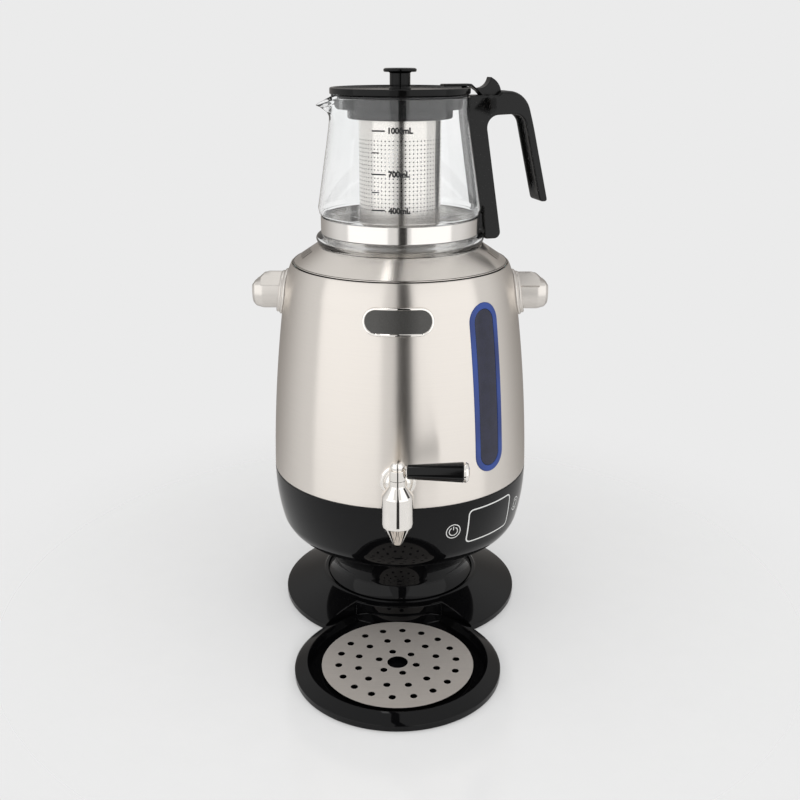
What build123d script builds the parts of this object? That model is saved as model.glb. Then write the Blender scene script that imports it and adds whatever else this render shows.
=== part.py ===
"""Electric samovar: steel boiler barrel on a black base, glass teapot on top, tap and drip tray in front.

Millimetres. +Z is up, the front (tap and drip tray) faces -Y, and the teapot's handle is on the +X side.
The origin is on the axis of the boiler, on the surface that the samovar stands on.
"""
from build123d import *
import math
import os

os.makedirs("parts", exist_ok=True)

# ---------------------------------------------------------------- driving dimensions
GAP = 0.3                     # room between pieces that lift, slide or swing past each other
FIT = 0.05                    # radial clearance of a pin, screw or plug in its hole

BASE_R = 101.0                # foot disc
BASE_LOW = 1.2                # underside of the foot disc, above the table
BASE_EDGE = 6.5               # height of its outer edge
BASE_WALL = 2.5
LIP_R = 66.4                  # raised lip around the neck
LIP_Z = 20.4
DECK_Z = 17.0                 # floor inside the lip, which carries the neck
FEET_R = 85.0

NECK_R = 63.2                 # foot of the neck, inside the lip
NECK_TOP_R = 61.0
NECK_WAIST = (57.8, 33.5)     # radius, height
BOWL_Z = 51.5                 # underside of the bowl's floor

SEAM_Z = 123.5                # black bowl below, steel barrel above
BOWL_T = 2.6
BARREL = ((107.0, 123.5), (103.1, 197.5), (94.5, 272.0))      # radius, height: one long arc
SHOULDER = ((94.5, 272.0), (92.1, 285.2), (88.2, 295.8))      # and a tighter one
SHELL_T = 0.8
BRIM_Z = 292.4                # flange inside the shoulder, which carries the lift-off cover
BRIM_R = 81.0

TANK_SET = 7.5                # the tank stands this far inside the barrel's surface
TANK_T = 0.8
TANK_LOW = 130.0

COVER_R = 86.5
COVER_TOP = 310.4
SEAT_R = 65.4                 # recess in the cover that the teapot's foot stands in
SEAT_Z = 308.0

TRAY_Y = -134.0               # centre of the drip tray and of its grille
TRAY_R = 80.0
TRAY_INNER_R = 70.3
TRAY_LOW = 0.6
TRAY_EDGE = 5.6
TRAY_TOP = 10.4
TRAY_BACK_R = 72.5            # the tray's back edge is an arc about the boiler's axis
TRAY_CORNER_X = 35.0
GRILLE_R = 59.0
GRILLE_Z = 4.6
GRILLE_T = 1.0

TAP_Y = -133.5                # vertical axis of the tap
TAP_Z = 147.0                 # height of the stem that feeds it
LEVER_Z = 166.4
PLUG_R = 4.3

LUG_Z = 272.0
LUG_R = 15.0
LUG_END = 120.0
COLLAR_R = 18.5

WINDOW_AZ = 42.6              # the level window is turned this far from the front, towards +X
WINDOW = (29.2, 133.2, 211.3)     # width, height, height of its centre
BADGE = (54.0, 21.5, 269.0)

GLASS_LOW = 308.1
GLASS_T = 2.2
GLASS_WALL = ((65.2, 340.0), (63.7, 350.0), (60.8, 368.0), (58.0, 387.0), (55.3, 405.0), (54.4, 415.0))
RIM_Z = 424.0
BAND = (62.5, 63.4, 320.0, 333.0)     # inner and outer radius, bottom and top
SPOUT_TIP = (67.0, 417.6)
POT_TURN = 17.0               # the teapot stands turned, its spout a little to the front

BASKET_R = 32.3
BASKET = (327.0, 408.5)
LID_R = 54.5
LID_Z = 426.0
LID_TOP = 431.0
KNOB_TOP = 445.0

HANDLE_W = 21.0
LEVER_W = 10.0
PIN = (71.0, 422.2)           # hinge pin of the lid, distance from the axis and height
PIN_R = 2.25


# ---------------------------------------------------------------- shared helpers
def curve(*lines):
    """One closed outline out of several lines and arcs."""
    whole = Curve()
    for line in lines:
        whole += line
    return make_face(whole)


def turned(face):
    """A sketch of radius and height, turned about the boiler's axis."""
    return revolve(Plane.XZ * face, Axis.Z)


def ring(inner, outer, low, high):
    """A plain ring about the boiler's axis."""
    body = Pos(0, 0, (low + high) / 2) * Cylinder(outer, high - low)
    if inner:
        body -= Pos(0, 0, (low + high) / 2) * Cylinder(inner, high - low + 2)
    return body


def rod_z(x, y, radius, low, high):
    """An upright cylinder."""
    return Pos(x, y, (low + high) / 2) * Cylinder(radius, high - low)


def rod_y(x, z, radius, near, far):
    """A cylinder that lies along Y."""
    return Pos(x, (near + far) / 2, z) * Rot(90, 0, 0) * Cylinder(radius, far - near)


def rod_x(y, z, radius, near, far):
    """A cylinder that lies along X."""
    return Pos((near + far) / 2, y, z) * Rot(0, 90, 0) * Cylinder(radius, far - near)


def block(x, y, z):
    """A box from its limits along each axis."""
    size = (x[1] - x[0], y[1] - y[0], z[1] - z[0])
    return Pos(sum(x) / 2, sum(y) / 2, sum(z) / 2) * Box(*size)


def polar(radius, azimuth):
    """A place at this distance from the axis, the azimuth counted from the front towards +X."""
    angle = math.radians(azimuth)
    return radius * math.sin(angle), -radius * math.cos(angle)


def flat_part(outline, half_width):
    """An outline in the XZ plane, given thickness along Y."""
    return extrude(Plane.XZ * outline, half_width, both=True)


def wall_arcs(offset):
    """The barrel's outline, moved in or out by the offset."""
    long_arc = ThreePointArc(*[(r + offset, z) for r, z in BARREL])
    shoulder = ThreePointArc(*[(r + offset, z) for r, z in SHOULDER])
    return long_arc, shoulder


def barrel_layer(inside, outside):
    """A layer that follows the barrel between two offsets from its surface."""
    low, high = BARREL[0], SHOULDER[2]
    return turned(curve(
        *wall_arcs(outside),
        Line((high[0] + outside, high[1]), (high[0] + inside, high[1])),
        *wall_arcs(inside),
        Line((low[0] + inside, low[1]), (low[0] + outside, low[1])),
    ))


def stadium(width, height, z, azimuth, tall=True):
    """A long prism with round ends, pointing out of the barrel at this azimuth."""
    slot = SlotOverall(max(width, height), min(width, height), rotation=90 if tall else 0)
    x, y = polar(1.0, azimuth)
    place = Plane(origin=(0, 0, z), x_dir=(-y, x, 0), z_dir=(x, y, 0))
    return extrude(place * slot, 140.0)


def save(node, *shapes):
    """Each piece goes to its own file; identical small pieces share one."""
    solids = [solid for shape in shapes for solid in shape.solids()]
    export_step(solids[0] if len(solids) == 1 else Compound(solids), f"parts/{node}.step")


# ---------------------------------------------------------------- base and neck
def tray_notch(grow):
    """The bite that the drip tray takes out of the base."""
    tray = rod_z(0, TRAY_Y, TRAY_R + grow, -1, 40)
    return tray - rod_z(0, 0, TRAY_BACK_R - grow, -2, 41)


SCREW_R = 1.5
BASE_SCREWS = [polar(40.0, azimuth) for azimuth in (60, 150, 210, 300)]
NECK_SCREWS = [polar(50.0, azimuth) for azimuth in (45, 135, 225, 315)]
FEET = [polar(FEET_R, azimuth) for azimuth in (62, 130, 230, 298)]
PLATE_LOW, PLATE_TOP = 1.6, 3.2
DECK_LOW = DECK_Z - BASE_WALL


def base_disc():
    outside = turned(make_face(Polyline(
        (0, BASE_LOW), (BASE_R - 0.6, BASE_LOW), (BASE_R, BASE_LOW + 0.6), (BASE_R, BASE_EDGE - 0.8),
        (BASE_R - 1.0, BASE_EDGE), (LIP_R + 1.0, LIP_Z - 1.0), (LIP_R, LIP_Z), (LIP_R - 1.4, LIP_Z + 0.2),
        (LIP_R - 2.3, LIP_Z - 0.6), (LIP_R - 2.8, DECK_Z), (0, DECK_Z), close=True)))
    hollow = turned(make_face(Polyline(
        (0, 0), (BASE_R - BASE_WALL, 0), (BASE_R - BASE_WALL, BASE_EDGE - BASE_WALL + 0.4),
        (LIP_R, DECK_LOW), (0, DECK_LOW), close=True)))
    body = outside - tray_notch(GAP + 0.2) - (hollow - tray_notch(BASE_WALL + 0.5))
    for x, y in BASE_SCREWS:
        body += rod_z(x, y, 4.0, PLATE_TOP, DECK_LOW + 0.5)
        body -= rod_z(x, y, SCREW_R + FIT, PLATE_TOP - 1, 12.5)
    for x, y in NECK_SCREWS:
        body -= rod_z(x, y, SCREW_R + FIT, DECK_LOW - 1, DECK_Z + 1)
    return body - rod_z(0, 0, 12.0, DECK_LOW - 1, DECK_Z + 1)


def base_plate():
    plate = ring(0, BASE_R - BASE_WALL - GAP, PLATE_LOW, PLATE_TOP) - tray_notch(BASE_WALL + 0.8)
    for x, y in BASE_SCREWS:
        plate -= rod_z(x, y, SCREW_R + FIT, 0, 5)
        plate -= rod_z(x, y, 3.0 + FIT, 0, PLATE_LOW + 0.8)
    return plate


def rubber_feet():
    return [rod_z(x, y, 8.0, 0, PLATE_LOW) for x, y in FEET] + [rod_z(0, 0, 12.0, 0, PLATE_LOW)]


def screw(x, y, low, length, up=True):
    """A small pan-head screw; the head is at the low end where it points up."""
    head = (low, low + 0.8) if up else (low + length - 0.8, low + length)
    return rod_z(x, y, SCREW_R, low, low + length) + rod_z(x, y, 3.0, *head)


def neck_ring():
    """The waisted neck: it flares into the lip below and into the bowl above."""
    outline = curve(
        Line((NECK_R, DECK_Z), (NECK_R, 20.0)),
        ThreePointArc((NECK_R, 20.0), (59.4, 25.5), NECK_WAIST),
        ThreePointArc(NECK_WAIST, (58.2, 43.0), (NECK_TOP_R, BOWL_Z)),
        Polyline((NECK_TOP_R, BOWL_Z), (44.0, BOWL_Z), (44.0, BOWL_Z - 2.5), (54.5, BOWL_Z - 2.5),
                 (54.5, DECK_Z + 2.5), (44.0, DECK_Z + 2.5), (44.0, DECK_Z), (NECK_R, DECK_Z)))
    body = turned(outline)
    for x, y in NECK_SCREWS:
        body -= rod_z(x, y, SCREW_R + FIT, DECK_Z - 1, DECK_Z + 4)
        body -= rod_z(x, y, SCREW_R + FIT, BOWL_Z - 4, BOWL_Z + 1)
    return body


def neck_screws():
    low = [screw(x, y, DECK_LOW - 0.8, 9.0) for x, y in NECK_SCREWS]
    high = [screw(x, y, BOWL_Z - 4.2, 8.0, up=False) for x, y in NECK_SCREWS]
    return low + high


# ---------------------------------------------------------------- black bowl and what it houses
BOWL_SIDE = ((107.0, 123.5), (105.3, 98.0), (101.4, 79.0))
BOWL_TURN = ((101.4, 79.0), (96.6, 70.6), (89.0, 64.4))
BOWL_BELLY = ((89.0, 64.4), (77.0, 57.4), (64.0, BOWL_Z))
FLOOR_Z = BOWL_Z + 3.0
POSTS = [polar(78.0, azimuth) for azimuth in (80, 200, 320)]
POST_Z = 76.0
BOARD = (100.0, 70.0, 70.0)       # length, width, height above the table
BOARD_Y = 8.0
STANDOFFS = [(x, BOARD_Y + y) for x in (-44, 44) for y in (-29, 29)]
INLET_Z = 92.0
INLET_Y = 102.0                   # back face of the bowl where the inlet's flange is let in
INLET = (27.4, 20.4)              # width and height of its body
DISPLAY_AZ = 43.0


def bowl_arcs(inset):
    """The bowl's three arcs; the inset moves the side in and the belly up."""
    side = ThreePointArc(*[(r - inset, z) for r, z in BOWL_SIDE])
    (r0, z0), (r1, z1), (r2, z2) = BOWL_TURN
    turn = ThreePointArc((r0 - inset, z0), (r1 - 0.75 * inset, z1 + 0.5 * inset),
                         (r2 - 0.4 * inset, z2 + inset))
    (r0, z0), (r1, z1), (r2, z2) = BOWL_BELLY
    belly = ThreePointArc((r0 - 0.4 * inset, z0 + inset), (r1 - 0.4 * inset, z1 + inset),
                          (r2, z2 + inset))
    return side, turn, belly


def bowl_solid(inset, floor):
    top_r = BOWL_SIDE[0][0] - inset
    inner = Polyline((64.0, BOWL_Z + inset), (0, floor), (0, SEAM_Z), (top_r, SEAM_Z))
    return turned(curve(*bowl_arcs(inset), inner))


def lower_bowl():
    outside = bowl_solid(0.0, BOWL_Z)
    body = outside - bowl_solid(BOWL_T, FLOOR_Z - 0.4)
    body += ring(102.6, 105.6, SEAM_Z - 4, SEAM_Z + 4)
    for side in (-29, 29):
        body += at_display(block((side - 2, side + 2), (-108, -86.7), (88, 118))) & outside
    for x, y in POSTS:
        body += rod_z(x, y, 7.0, FLOOR_Z, POST_Z) & outside
    for x, y in STANDOFFS:
        body += rod_z(x, y, 4.0, FLOOR_Z - 1, BOARD[2])
        body -= rod_z(x, y, SCREW_R + FIT, BOARD[2] - 7, BOARD[2] + 1)
    for x, y in NECK_SCREWS:
        body -= rod_z(x, y, SCREW_R + FIT, BOWL_Z - 1, FLOOR_Z + 2)
    half_wide, half_tall = INLET[0] / 2 + GAP, INLET[1] / 2 + GAP
    body += block((-19, 19), (94, 108), (INLET_Z - 15, INLET_Z + 15)) & outside
    body -= block((-half_wide, half_wide), (90, 110), (INLET_Z - half_tall, INLET_Z + half_tall))
    body -= block((-15.8, 15.8), (INLET_Y, 110), (INLET_Z - 12.3, INLET_Z + 12.3))
    body -= rod_z(0, 0, 12.0, BOWL_Z - 1, FLOOR_Z + 1)
    return body


def power_inlet():
    """A three-pin appliance inlet; the socket opens backwards."""
    wide, tall = INLET
    body = block((-wide / 2, wide / 2), (80.0, INLET_Y + 1), (INLET_Z - tall / 2, INLET_Z + tall / 2))
    body += block((-15.5, 15.5), (INLET_Y, INLET_Y + 2.4), (INLET_Z - 12, INLET_Z + 12))
    body -= block((-12.0, 12.0), (INLET_Y - 14.0, 112), (INLET_Z - 8.25, INLET_Z + 8.25))
    for x, z in ((-7.0, -2.0), (0.0, 2.0), (7.0, -2.0)):
        pin_z = INLET_Z + z
        body += block((x - 1.0, x + 1.0), (INLET_Y - 15.0, INLET_Y - 2.0), (pin_z - 2, pin_z + 2))
    return body


def tank_posts():
    return [rod_z(x, y, 6.0, POST_Z, TANK_LOW) - rod_z(x, y, 2.0, POST_Z - 1, POST_Z + 12) for x, y in POSTS]


def power_board():
    long, wide, z = BOARD
    board = block((-long / 2, long / 2), (BOARD_Y - wide / 2, BOARD_Y + wide / 2), (z, z + 1.6))
    for x, y in STANDOFFS:
        board -= rod_z(x, y, SCREW_R + FIT, z - 1, z + 3)
    return board


def power_board_parts():
    """Transformer, relay, two capacitors and the heater's terminal block."""
    z = BOARD[2] + 1.6
    return [
        block((-38, -12), (BOARD_Y - 12, BOARD_Y + 12), (z, z + 20)),
        block((-2, 14), (BOARD_Y + 4, BOARD_Y + 24), (z, z + 16)),
        rod_z(4, BOARD_Y - 14, 5.0, z, z + 18),
        rod_z(18, BOARD_Y - 14, 5.0, z, z + 18),
        block((28, 42), (BOARD_Y - 18, BOARD_Y + 18), (z, z + 12)),
    ]


def board_screws():
    return [screw(x, y, BOARD[2] - 5.6, 8.0, up=False) for x, y in STANDOFFS]


def at_display(shape):
    return Rot(0, 0, DISPLAY_AZ) * shape


def display_board():
    """The touch board stands behind the bowl's wall, facing forwards at the panel."""
    return at_display(block((-32, 32), (-86.6, -85.0), (86, 120)))


def display_module():
    return at_display(block((-19, 19), (-91.6, -86.7), (91, 116)))


# ---------------------------------------------------------------- tank and heater
PLATE_R = 70.0
HEATER_R = 58.0
HEATER_TUBE = 4.0
HEATER_Z = TANK_LOW - 3.5 - HEATER_TUBE


def tank_solid(inset):
    """The tank's outline: flat floor, round corner, side along the barrel, straight neck."""
    side = [(r - TANK_SET - inset, z) for r, z in ((106.2, 142.0), (102.7, 202.0), (94.5, 272.0))]
    corner = [(side[0][0] - 12, TANK_LOW + inset), (side[0][0] - 3.4, TANK_LOW + 3.4 + inset * 0.7)]
    neck = [(84.6 - inset, 286.0), (84.6 - inset, BRIM_Z - SHELL_T)]
    return turned(curve(
        Polyline((0, neck[1][1]), (0, corner[0][1]), corner[0]),
        ThreePointArc(*corner, side[0]),
        ThreePointArc(*side),
        Polyline(side[2], *neck, (0, neck[1][1]))))


def water_tank():
    return tank_solid(0.0) - tank_solid(TANK_T) - rod_y(0, TAP_Z, 5.5 + FIT, -110, -60)


def heater_plate():
    return ring(0, PLATE_R, TANK_LOW - 3.5, TANK_LOW)


def heating_element():
    """A sheathed tube bent into an open ring, its two ends turned down as terminals."""
    sweep_angle = 330.0
    section = Plane.XZ * (Pos(HEATER_R, HEATER_Z) * Circle(HEATER_TUBE))
    body = revolve(section, Axis.Z, sweep_angle)
    for angle in (0.0, sweep_angle):
        x, y = HEATER_R * math.cos(math.radians(angle)), HEATER_R * math.sin(math.radians(angle))
        body += rod_z(x, y, HEATER_TUBE, HEATER_Z - 16, HEATER_Z) + Pos(x, y, HEATER_Z) * Sphere(HEATER_TUBE)
        body += rod_z(x, y, 1.5, HEATER_Z - 22, HEATER_Z - 15)
    return body


def thermostats():
    top = TANK_LOW - 3.5
    cans = []
    for azimuth in (100, 260):
        x, y = polar(30.0, azimuth)
        cans.append(rod_z(x, y, 9.0, top - 4, top) + rod_z(x, y, 7.0, top - 11, top - 3))
    return cans


def thermal_fuse():
    return rod_x(0, TANK_LOW - 6.0, 2.5, -11, 11) + rod_x(0, TANK_LOW - 6.0, 0.8, -20, 20)


def temperature_sensor():
    x, y = polar(36.0, 180)
    return rod_z(x, y, 3.0, TANK_LOW - 16, TANK_LOW - 3.5)


# ---------------------------------------------------------------- steel barrel and its trim
def outer_shell():
    low, high = BARREL[0], SHOULDER[2]
    top = high[1] + 0.6
    body = turned(curve(
        *wall_arcs(0.0),
        Polyline(high, (high[0] - 0.8, top), (COVER_R + 0.5, top), (COVER_R + 0.5, BRIM_Z),
                 (BRIM_R, BRIM_Z), (BRIM_R, BRIM_Z - SHELL_T), (high[0] - SHELL_T, BRIM_Z - SHELL_T),
                 (high[0] - SHELL_T, high[1])),
        *wall_arcs(-SHELL_T),
        Line((low[0] - SHELL_T, low[1]), low)))
    body -= ring(0, 120, low[1] - 1, low[1] + 0.6)
    width, height, z = WINDOW
    body -= stadium(width + 0.4, height + 0.4, z, WINDOW_AZ)
    body -= rod_y(0, TAP_Z, 5.5 + FIT, -120, -80)
    for side in (-1, 1):
        body -= Rot(0, 0, 90 - 90 * side) * rod_x(0, LUG_Z, 2.5 + FIT, 70, 110)
    return body


def seam_gasket():
    return ring(105.7, 106.8, SEAM_Z, SEAM_Z + 0.6)


def window_ring():
    """The light guide that glows around the level window."""
    width, height, z = WINDOW
    outside = stadium(width, height, z, WINDOW_AZ)
    inside = stadium(width - 9.6, height - 9.6, z, WINDOW_AZ)
    return barrel_layer(-3.0, 0.5) & (outside - inside)


def window_lens():
    width, height, z = WINDOW
    return barrel_layer(-3.0, 0.2) & stadium(width - 9.8, height - 9.8, z, WINDOW_AZ)


def window_gasket():
    width, height, z = WINDOW
    outside = stadium(width + 6.0, height + 6.0, z, WINDOW_AZ)
    inside = stadium(width + 0.2, height + 0.2, z, WINDOW_AZ)
    return barrel_layer(-2.8, -SHELL_T - FIT) & (outside - inside)


def led_strip():
    width, height, z = WINDOW
    return barrel_layer(-4.6, -3.1) & stadium(width - 8.0, height - 8.0, z, WINDOW_AZ)


def badge_rim():
    width, height, z = BADGE
    frame = stadium(width, height, z, 0, tall=False) - stadium(width - 3.4, height - 3.4, z, 0, tall=False)
    return barrel_layer(0.02, 1.9) & frame


def badge_plate():
    width, height, z = BADGE
    return barrel_layer(0.02, 1.2) & stadium(width - 3.5, height - 3.5, z, 0, tall=False)


def lug(side):
    """A stub handle: a bar along X with a sloped thumb face and a rounded-off end."""
    bar = revolve(Plane.XZ * make_face(Polyline(
        (84, 0), (84, LUG_R), (LUG_END - 10, LUG_R), (LUG_END - 4, LUG_R - 1.0),
        (LUG_END - 1.2, LUG_R - 2.4), (LUG_END, LUG_R - 4.4), (LUG_END, 0), close=True)), Axis.X)
    bar = Pos(0, 0, LUG_Z) * bar
    facet = Pos(100, -6.7, LUG_Z + 10.7) * Rot(32, 0, 0) * Pos(0, 0, 20) * Box(60, 60, 40)
    end_cut = Pos(LUG_END - 5.8, 0, LUG_Z + 10.4) * Rot(0, 40, 0) * Pos(0, 0, 15) * Box(60, 60, 30)
    bar -= facet + end_cut
    bar -= barrel_solid(4.7)
    bar -= rod_x(0, LUG_Z, 2.5 + FIT, 70, LUG_END - 12)
    return bar if side > 0 else mirror(bar, Plane.YZ)


def barrel_solid(grow):
    """Everything inside the barrel's surface, grown by this much."""
    low, high = BARREL[0], SHOULDER[2]
    return turned(curve(*wall_arcs(grow), Polyline((high[0] + grow, high[1]), (0, high[1]), (0, low[1]),
                                                   (low[0] + grow, low[1]))))


def lug_collar(side):
    """The saddle between lug and barrel: a round flange that follows the barrel's curve."""
    saddle = barrel_layer(0.02, 2.4) & rod_x(0, LUG_Z - 1.5, COLLAR_R, 60, 118)
    saddle += barrel_layer(2.3, 4.6) & rod_x(0, LUG_Z - 1.0, COLLAR_R - 1.6, 60, 118)
    saddle -= rod_x(0, LUG_Z, 2.5 + FIT, 60, 118)
    return saddle if side > 0 else mirror(saddle, Plane.YZ)


def lug_bolts():
    """One bolt each side, put in from inside the shell."""
    bolt = rod_x(0, LUG_Z, 2.5, 92.0, LUG_END - 14) + rod_x(0, LUG_Z, 4.0, 90.4, 93.3)
    return [bolt, mirror(bolt, Plane.YZ)]


# ---------------------------------------------------------------- tap
def about_tap(face):
    """A sketch of radius and height, turned about the tap's upright axis."""
    return Pos(0, TAP_Y, 0) * revolve(Plane.XZ * face, Axis.Z)


def tap_rosette():
    """The stepped disc that covers the hole in the barrel."""
    profile = make_face(Polyline(
        (5.6, -10), (14.0, -10), (14.0, 1.0), (13.2, 2.4), (11.4, 2.9), (11.0, 2.4), (9.4, 4.4), (7.6, 5.2),
        (5.6, 5.2), close=True))
    dome = Pos(0, -BARREL[0][0] + 0.8, TAP_Z) * Rot(90, 0, 0) * revolve(Plane.XZ * profile, Axis.Z)
    return dome - barrel_solid(0.02)


def tap_stem():
    """The threaded pipe that carries water from the tank to the tap."""
    stem = rod_y(0, TAP_Z, 5.5, TAP_Y + 9.0, -86.0)
    return stem - rod_y(0, TAP_Z, 3.0, TAP_Y + 8.0, -79.0)


def tap_washer():
    """The sealing ring between the tank's wall and the nut."""
    washer = rod_y(0, TAP_Z, 9.5, -100, -94.0) - rod_y(0, TAP_Z, 5.5 + FIT, -105, -80)
    return washer & tank_solid(TANK_T + 0.02)


def tap_nut():
    nut = Pos(0, -92.0, TAP_Z) * Rot(90, 0, 0) * extrude(RegularPolygon(9.0, 6), 2.0, both=True)
    return nut - rod_y(0, TAP_Z, 5.5 + FIT, -100, -80)


def tap_body():
    """Bell-shaped spout with the bore for the plug and the way in from the stem."""
    bell = about_tap(make_face(Polyline(
        (3.0, 108.4), (3.7, 108.4), (4.2, 109.2), (11.6, 123.6), (11.9, 125.4), (11.8, 147.4),
        (11.2, 148.6), (6.3, 155.2), (6.15, 156.0), (6.15, 160.2), (PLUG_R + FIT, 160.2),
        (PLUG_R + FIT, 136.0), (3.0, 136.0), close=True)))
    bell -= rod_y(0, TAP_Z, 5.5 + FIT, TAP_Y + 9.0, TAP_Y + 14.0)
    return bell - rod_y(0, TAP_Z, 2.8, TAP_Y, TAP_Y + 10.0)


def tap_key():
    """The turning plug and its head; its cross bore meets the stem once the lever points forwards."""
    plug = about_tap(curve(
        Polyline((0, 136.3), (PLUG_R, 136.3), (PLUG_R, 160.5), (6.15, 160.5), (6.15, 168.2), (4.8, 168.4),
                 (4.8, 169.2), (5.4, 169.6), (5.4, 171.0)),
        ThreePointArc((5.4, 171.0), (4.1, 173.5), (1.5, 174.6)),
        Polyline((1.5, 174.6), (0, 174.7), (0, 136.3))))
    plug -= Pos(0, TAP_Y, TAP_Z) * Rot(0, 90, 0) * Pos(0, 0, -4) * Cylinder(2.6, 14)
    plug -= rod_z(0, TAP_Y, 2.2, 130, TAP_Z)
    return plug - rod_x(TAP_Y, LEVER_Z, 2.2 + FIT, 1.5, 10)


def along_lever(face):
    """A sketch of distance along X and radius, turned about the lever's own axis."""
    return Pos(0, TAP_Y, LEVER_Z) * revolve(Plane.XZ * face, Axis.X)


def lever_rod():
    """The rod screwed into the key's head, with the small collar that the grip butts against."""
    return along_lever(make_face(Polyline(
        (1.6, 0), (1.6, 2.2), (6.3, 2.2), (6.3, 4.2), (6.9, 4.4), (6.9, 2.2), (50.0, 2.2), (50.0, 0),
        close=True)))


def lever_grip():
    return along_lever(make_face(Polyline(
        (7.0, 2.3), (7.0, 4.8), (7.6, 5.3), (47.8, 7.6), (48.3, 7.3), (48.3, 2.3), close=True)))


def lever_end_cap():
    cap = along_lever(curve(
        Polyline((48.4, 0), (48.4, 7.5), (49.6, 7.6)), ThreePointArc((49.6, 7.6), (51.9, 5.6), (52.8, 2.0)),
        Polyline((52.8, 2.0), (52.9, 0), (48.4, 0))))
    return cap - rod_x(TAP_Y, LEVER_Z, 2.2 + FIT, 40, 50.1)


# ---------------------------------------------------------------- lift-off cover
def top_cover():
    """The cone that carries the teapot, with its steam hole and the vents at both sides."""
    body = turned(make_face(Polyline(
        (COVER_R, BRIM_Z + 1.6), (COVER_R, 295.9), (COVER_R - 0.9, 296.8), (67.2, COVER_TOP - 0.5),
        (66.6, COVER_TOP), (65.9, COVER_TOP), (SEAT_R, COVER_TOP - 0.5), (SEAT_R, SEAT_Z), (34.0, SEAT_Z),
        (34.0, 304.0), (33.0, 304.0), (33.0, SEAT_Z - 1.0), (SEAT_R - 1.0, SEAT_Z - 1.0),
        (COVER_R - 2.0, 295.6), (COVER_R - 1.0, 294.8), (COVER_R - 1.0, BRIM_Z + 1.6), close=True)))
    slope = math.degrees(math.atan2(COVER_TOP - 296.8, COVER_R - 0.9 - 66.6))
    vent = extrude(SlotOverall(10, 1.1, rotation=90), 6, both=True)
    vent = Pos(0, -76.0, 303.6) * Rot(slope, 0, 0) * vent
    for side in (90, 270):
        for step in range(-2, 3):
            body -= Rot(0, 0, side + 4.5 * step) * vent
    return body


def cover_gasket():
    """A silicone ring clipped under the cover's edge, which sits on the flange inside the shoulder."""
    return turned(make_face(Polyline(
        (COVER_R - 5.2, BRIM_Z), (COVER_R - 0.3, BRIM_Z), (COVER_R - 0.3, BRIM_Z + 1.5),
        (COVER_R - 1.1, BRIM_Z + 1.5), (COVER_R - 1.1, BRIM_Z + 2.3), (COVER_R - 3.4, BRIM_Z + 2.3),
        (COVER_R - 5.2, BRIM_Z + 1.2), close=True)))


# ---------------------------------------------------------------- teapot
def glass_outline(inset):
    """The pot's outline: foot, groove for the band, then the wall drawn in towards the mouth."""
    wall = Spline(*[(r - inset, z) for r, z in GLASS_WALL])
    foot_low = GLASS_LOW + inset * 1.3
    mouth = 54.8 - inset
    start, end = GLASS_WALL[0], GLASS_WALL[-1]
    return curve(
        Polyline((0, foot_low), (60.5 - inset, foot_low)),
        ThreePointArc((60.5 - inset, foot_low), (64.9 - inset, 310.8), (67.4 - inset, 315.6)),
        ThreePointArc((67.4 - inset, 315.6), (66.2 - inset, 318.2), (63.6 - inset, 319.3)),
        Polyline((63.6 - inset, 319.3), (62.2 - inset, 319.6), (62.2 - inset, 333.4), (64.4 - inset, 335.6)),
        Line((64.4 - inset, 335.6), (start[0] - inset, start[1])),
        wall,
        Polyline((end[0] - inset, end[1]), (mouth, RIM_Z), (0, RIM_Z), (0, foot_low)))


def spout_solid(inset):
    """The pulled lip: a beak seen from the side, cut to a rounded wedge seen from above."""
    tip_x, tip_z = SPOUT_TIP
    beak = flat_part(curve(
        Polyline((-30, RIM_Z), (-56.0, RIM_Z), (-tip_x + inset, tip_z + 0.6), (-tip_x + inset, tip_z)),
        ThreePointArc((-tip_x + inset, tip_z), (-60.0 + inset * 0.6, 412.6 + inset), (-54.8 + inset, 401.0)),
        Polyline((-54.8 + inset, 401.0), (-30, 401.0), (-30, RIM_Z))), 30)
    half = 17.0 - inset
    wedge = extrude(curve(
        Polyline((-30, half), (-46.0, half), (-tip_x + 3.0, 4.6 - inset)),
        ThreePointArc((-tip_x + 3.0, 4.6 - inset), (-tip_x + inset, 0), (-tip_x + 3.0, -4.6 + inset)),
        Polyline((-tip_x + 3.0, -4.6 + inset), (-46.0, -half), (-30, -half), (-30, half))), 450)
    return beak & wedge


def pot_outside():
    return turned(glass_outline(0.0)) + spout_solid(0.0)


def teapot_glass():
    inside = turned(glass_outline(GLASS_T)) + spout_solid(GLASS_T)
    opening = ring(0, 54.8 - GLASS_T, RIM_Z - 1, RIM_Z + 5)
    return pot_outside() - inside - opening - block((-56.0, -30), (-14, 14), (RIM_Z - 0.5, RIM_Z + 5))


def teapot_band():
    inner, outer, low, high = BAND
    return ring(inner, outer, low, high)


HANDLE_POINTS = (
    ((68.9, 311.8), 2.5), ((83.4, 311.8), 5.0), ((67.4, 409.0), 9.5), ((99.6, 410.2), 10.0),
    ((113.9, 350.5), 3.0), ((116.5, 340.2), 3.5), ((123.3, 340.2), 1.8), ((101.9, 427.5), 19.0),
    ((80.4, 427.5), 2.0), ((77.2, 424.4), 2.0), ((50.0, 424.4), 1.0), ((50.0, 338.4), 1.0),
    ((66.9, 338.4), 1.0))
HANDLE_SCREW_Z = 326.0


def lever_pocket():
    """The slot in the handle's top: room for the hub, and for the thumb piece as it swings down."""
    pin_x, pin_z = PIN
    swept = Polyline(
        (pin_x - 7.4, 440), (pin_x - 7.4, pin_z - 5.2), (pin_x + 1.2, pin_z - 5.2),
        (pin_x + 9.5, pin_z - 8.8), (pin_x + 12.6, pin_z - 5.9), (pin_x + 14.6, pin_z - 3.2),
        (pin_x + 15.8, pin_z), (pin_x + 16.4, pin_z + 4), (pin_x + 16.4, 440), close=True)
    return flat_part(make_face(swept), LEVER_W / 2 + GAP)


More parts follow.
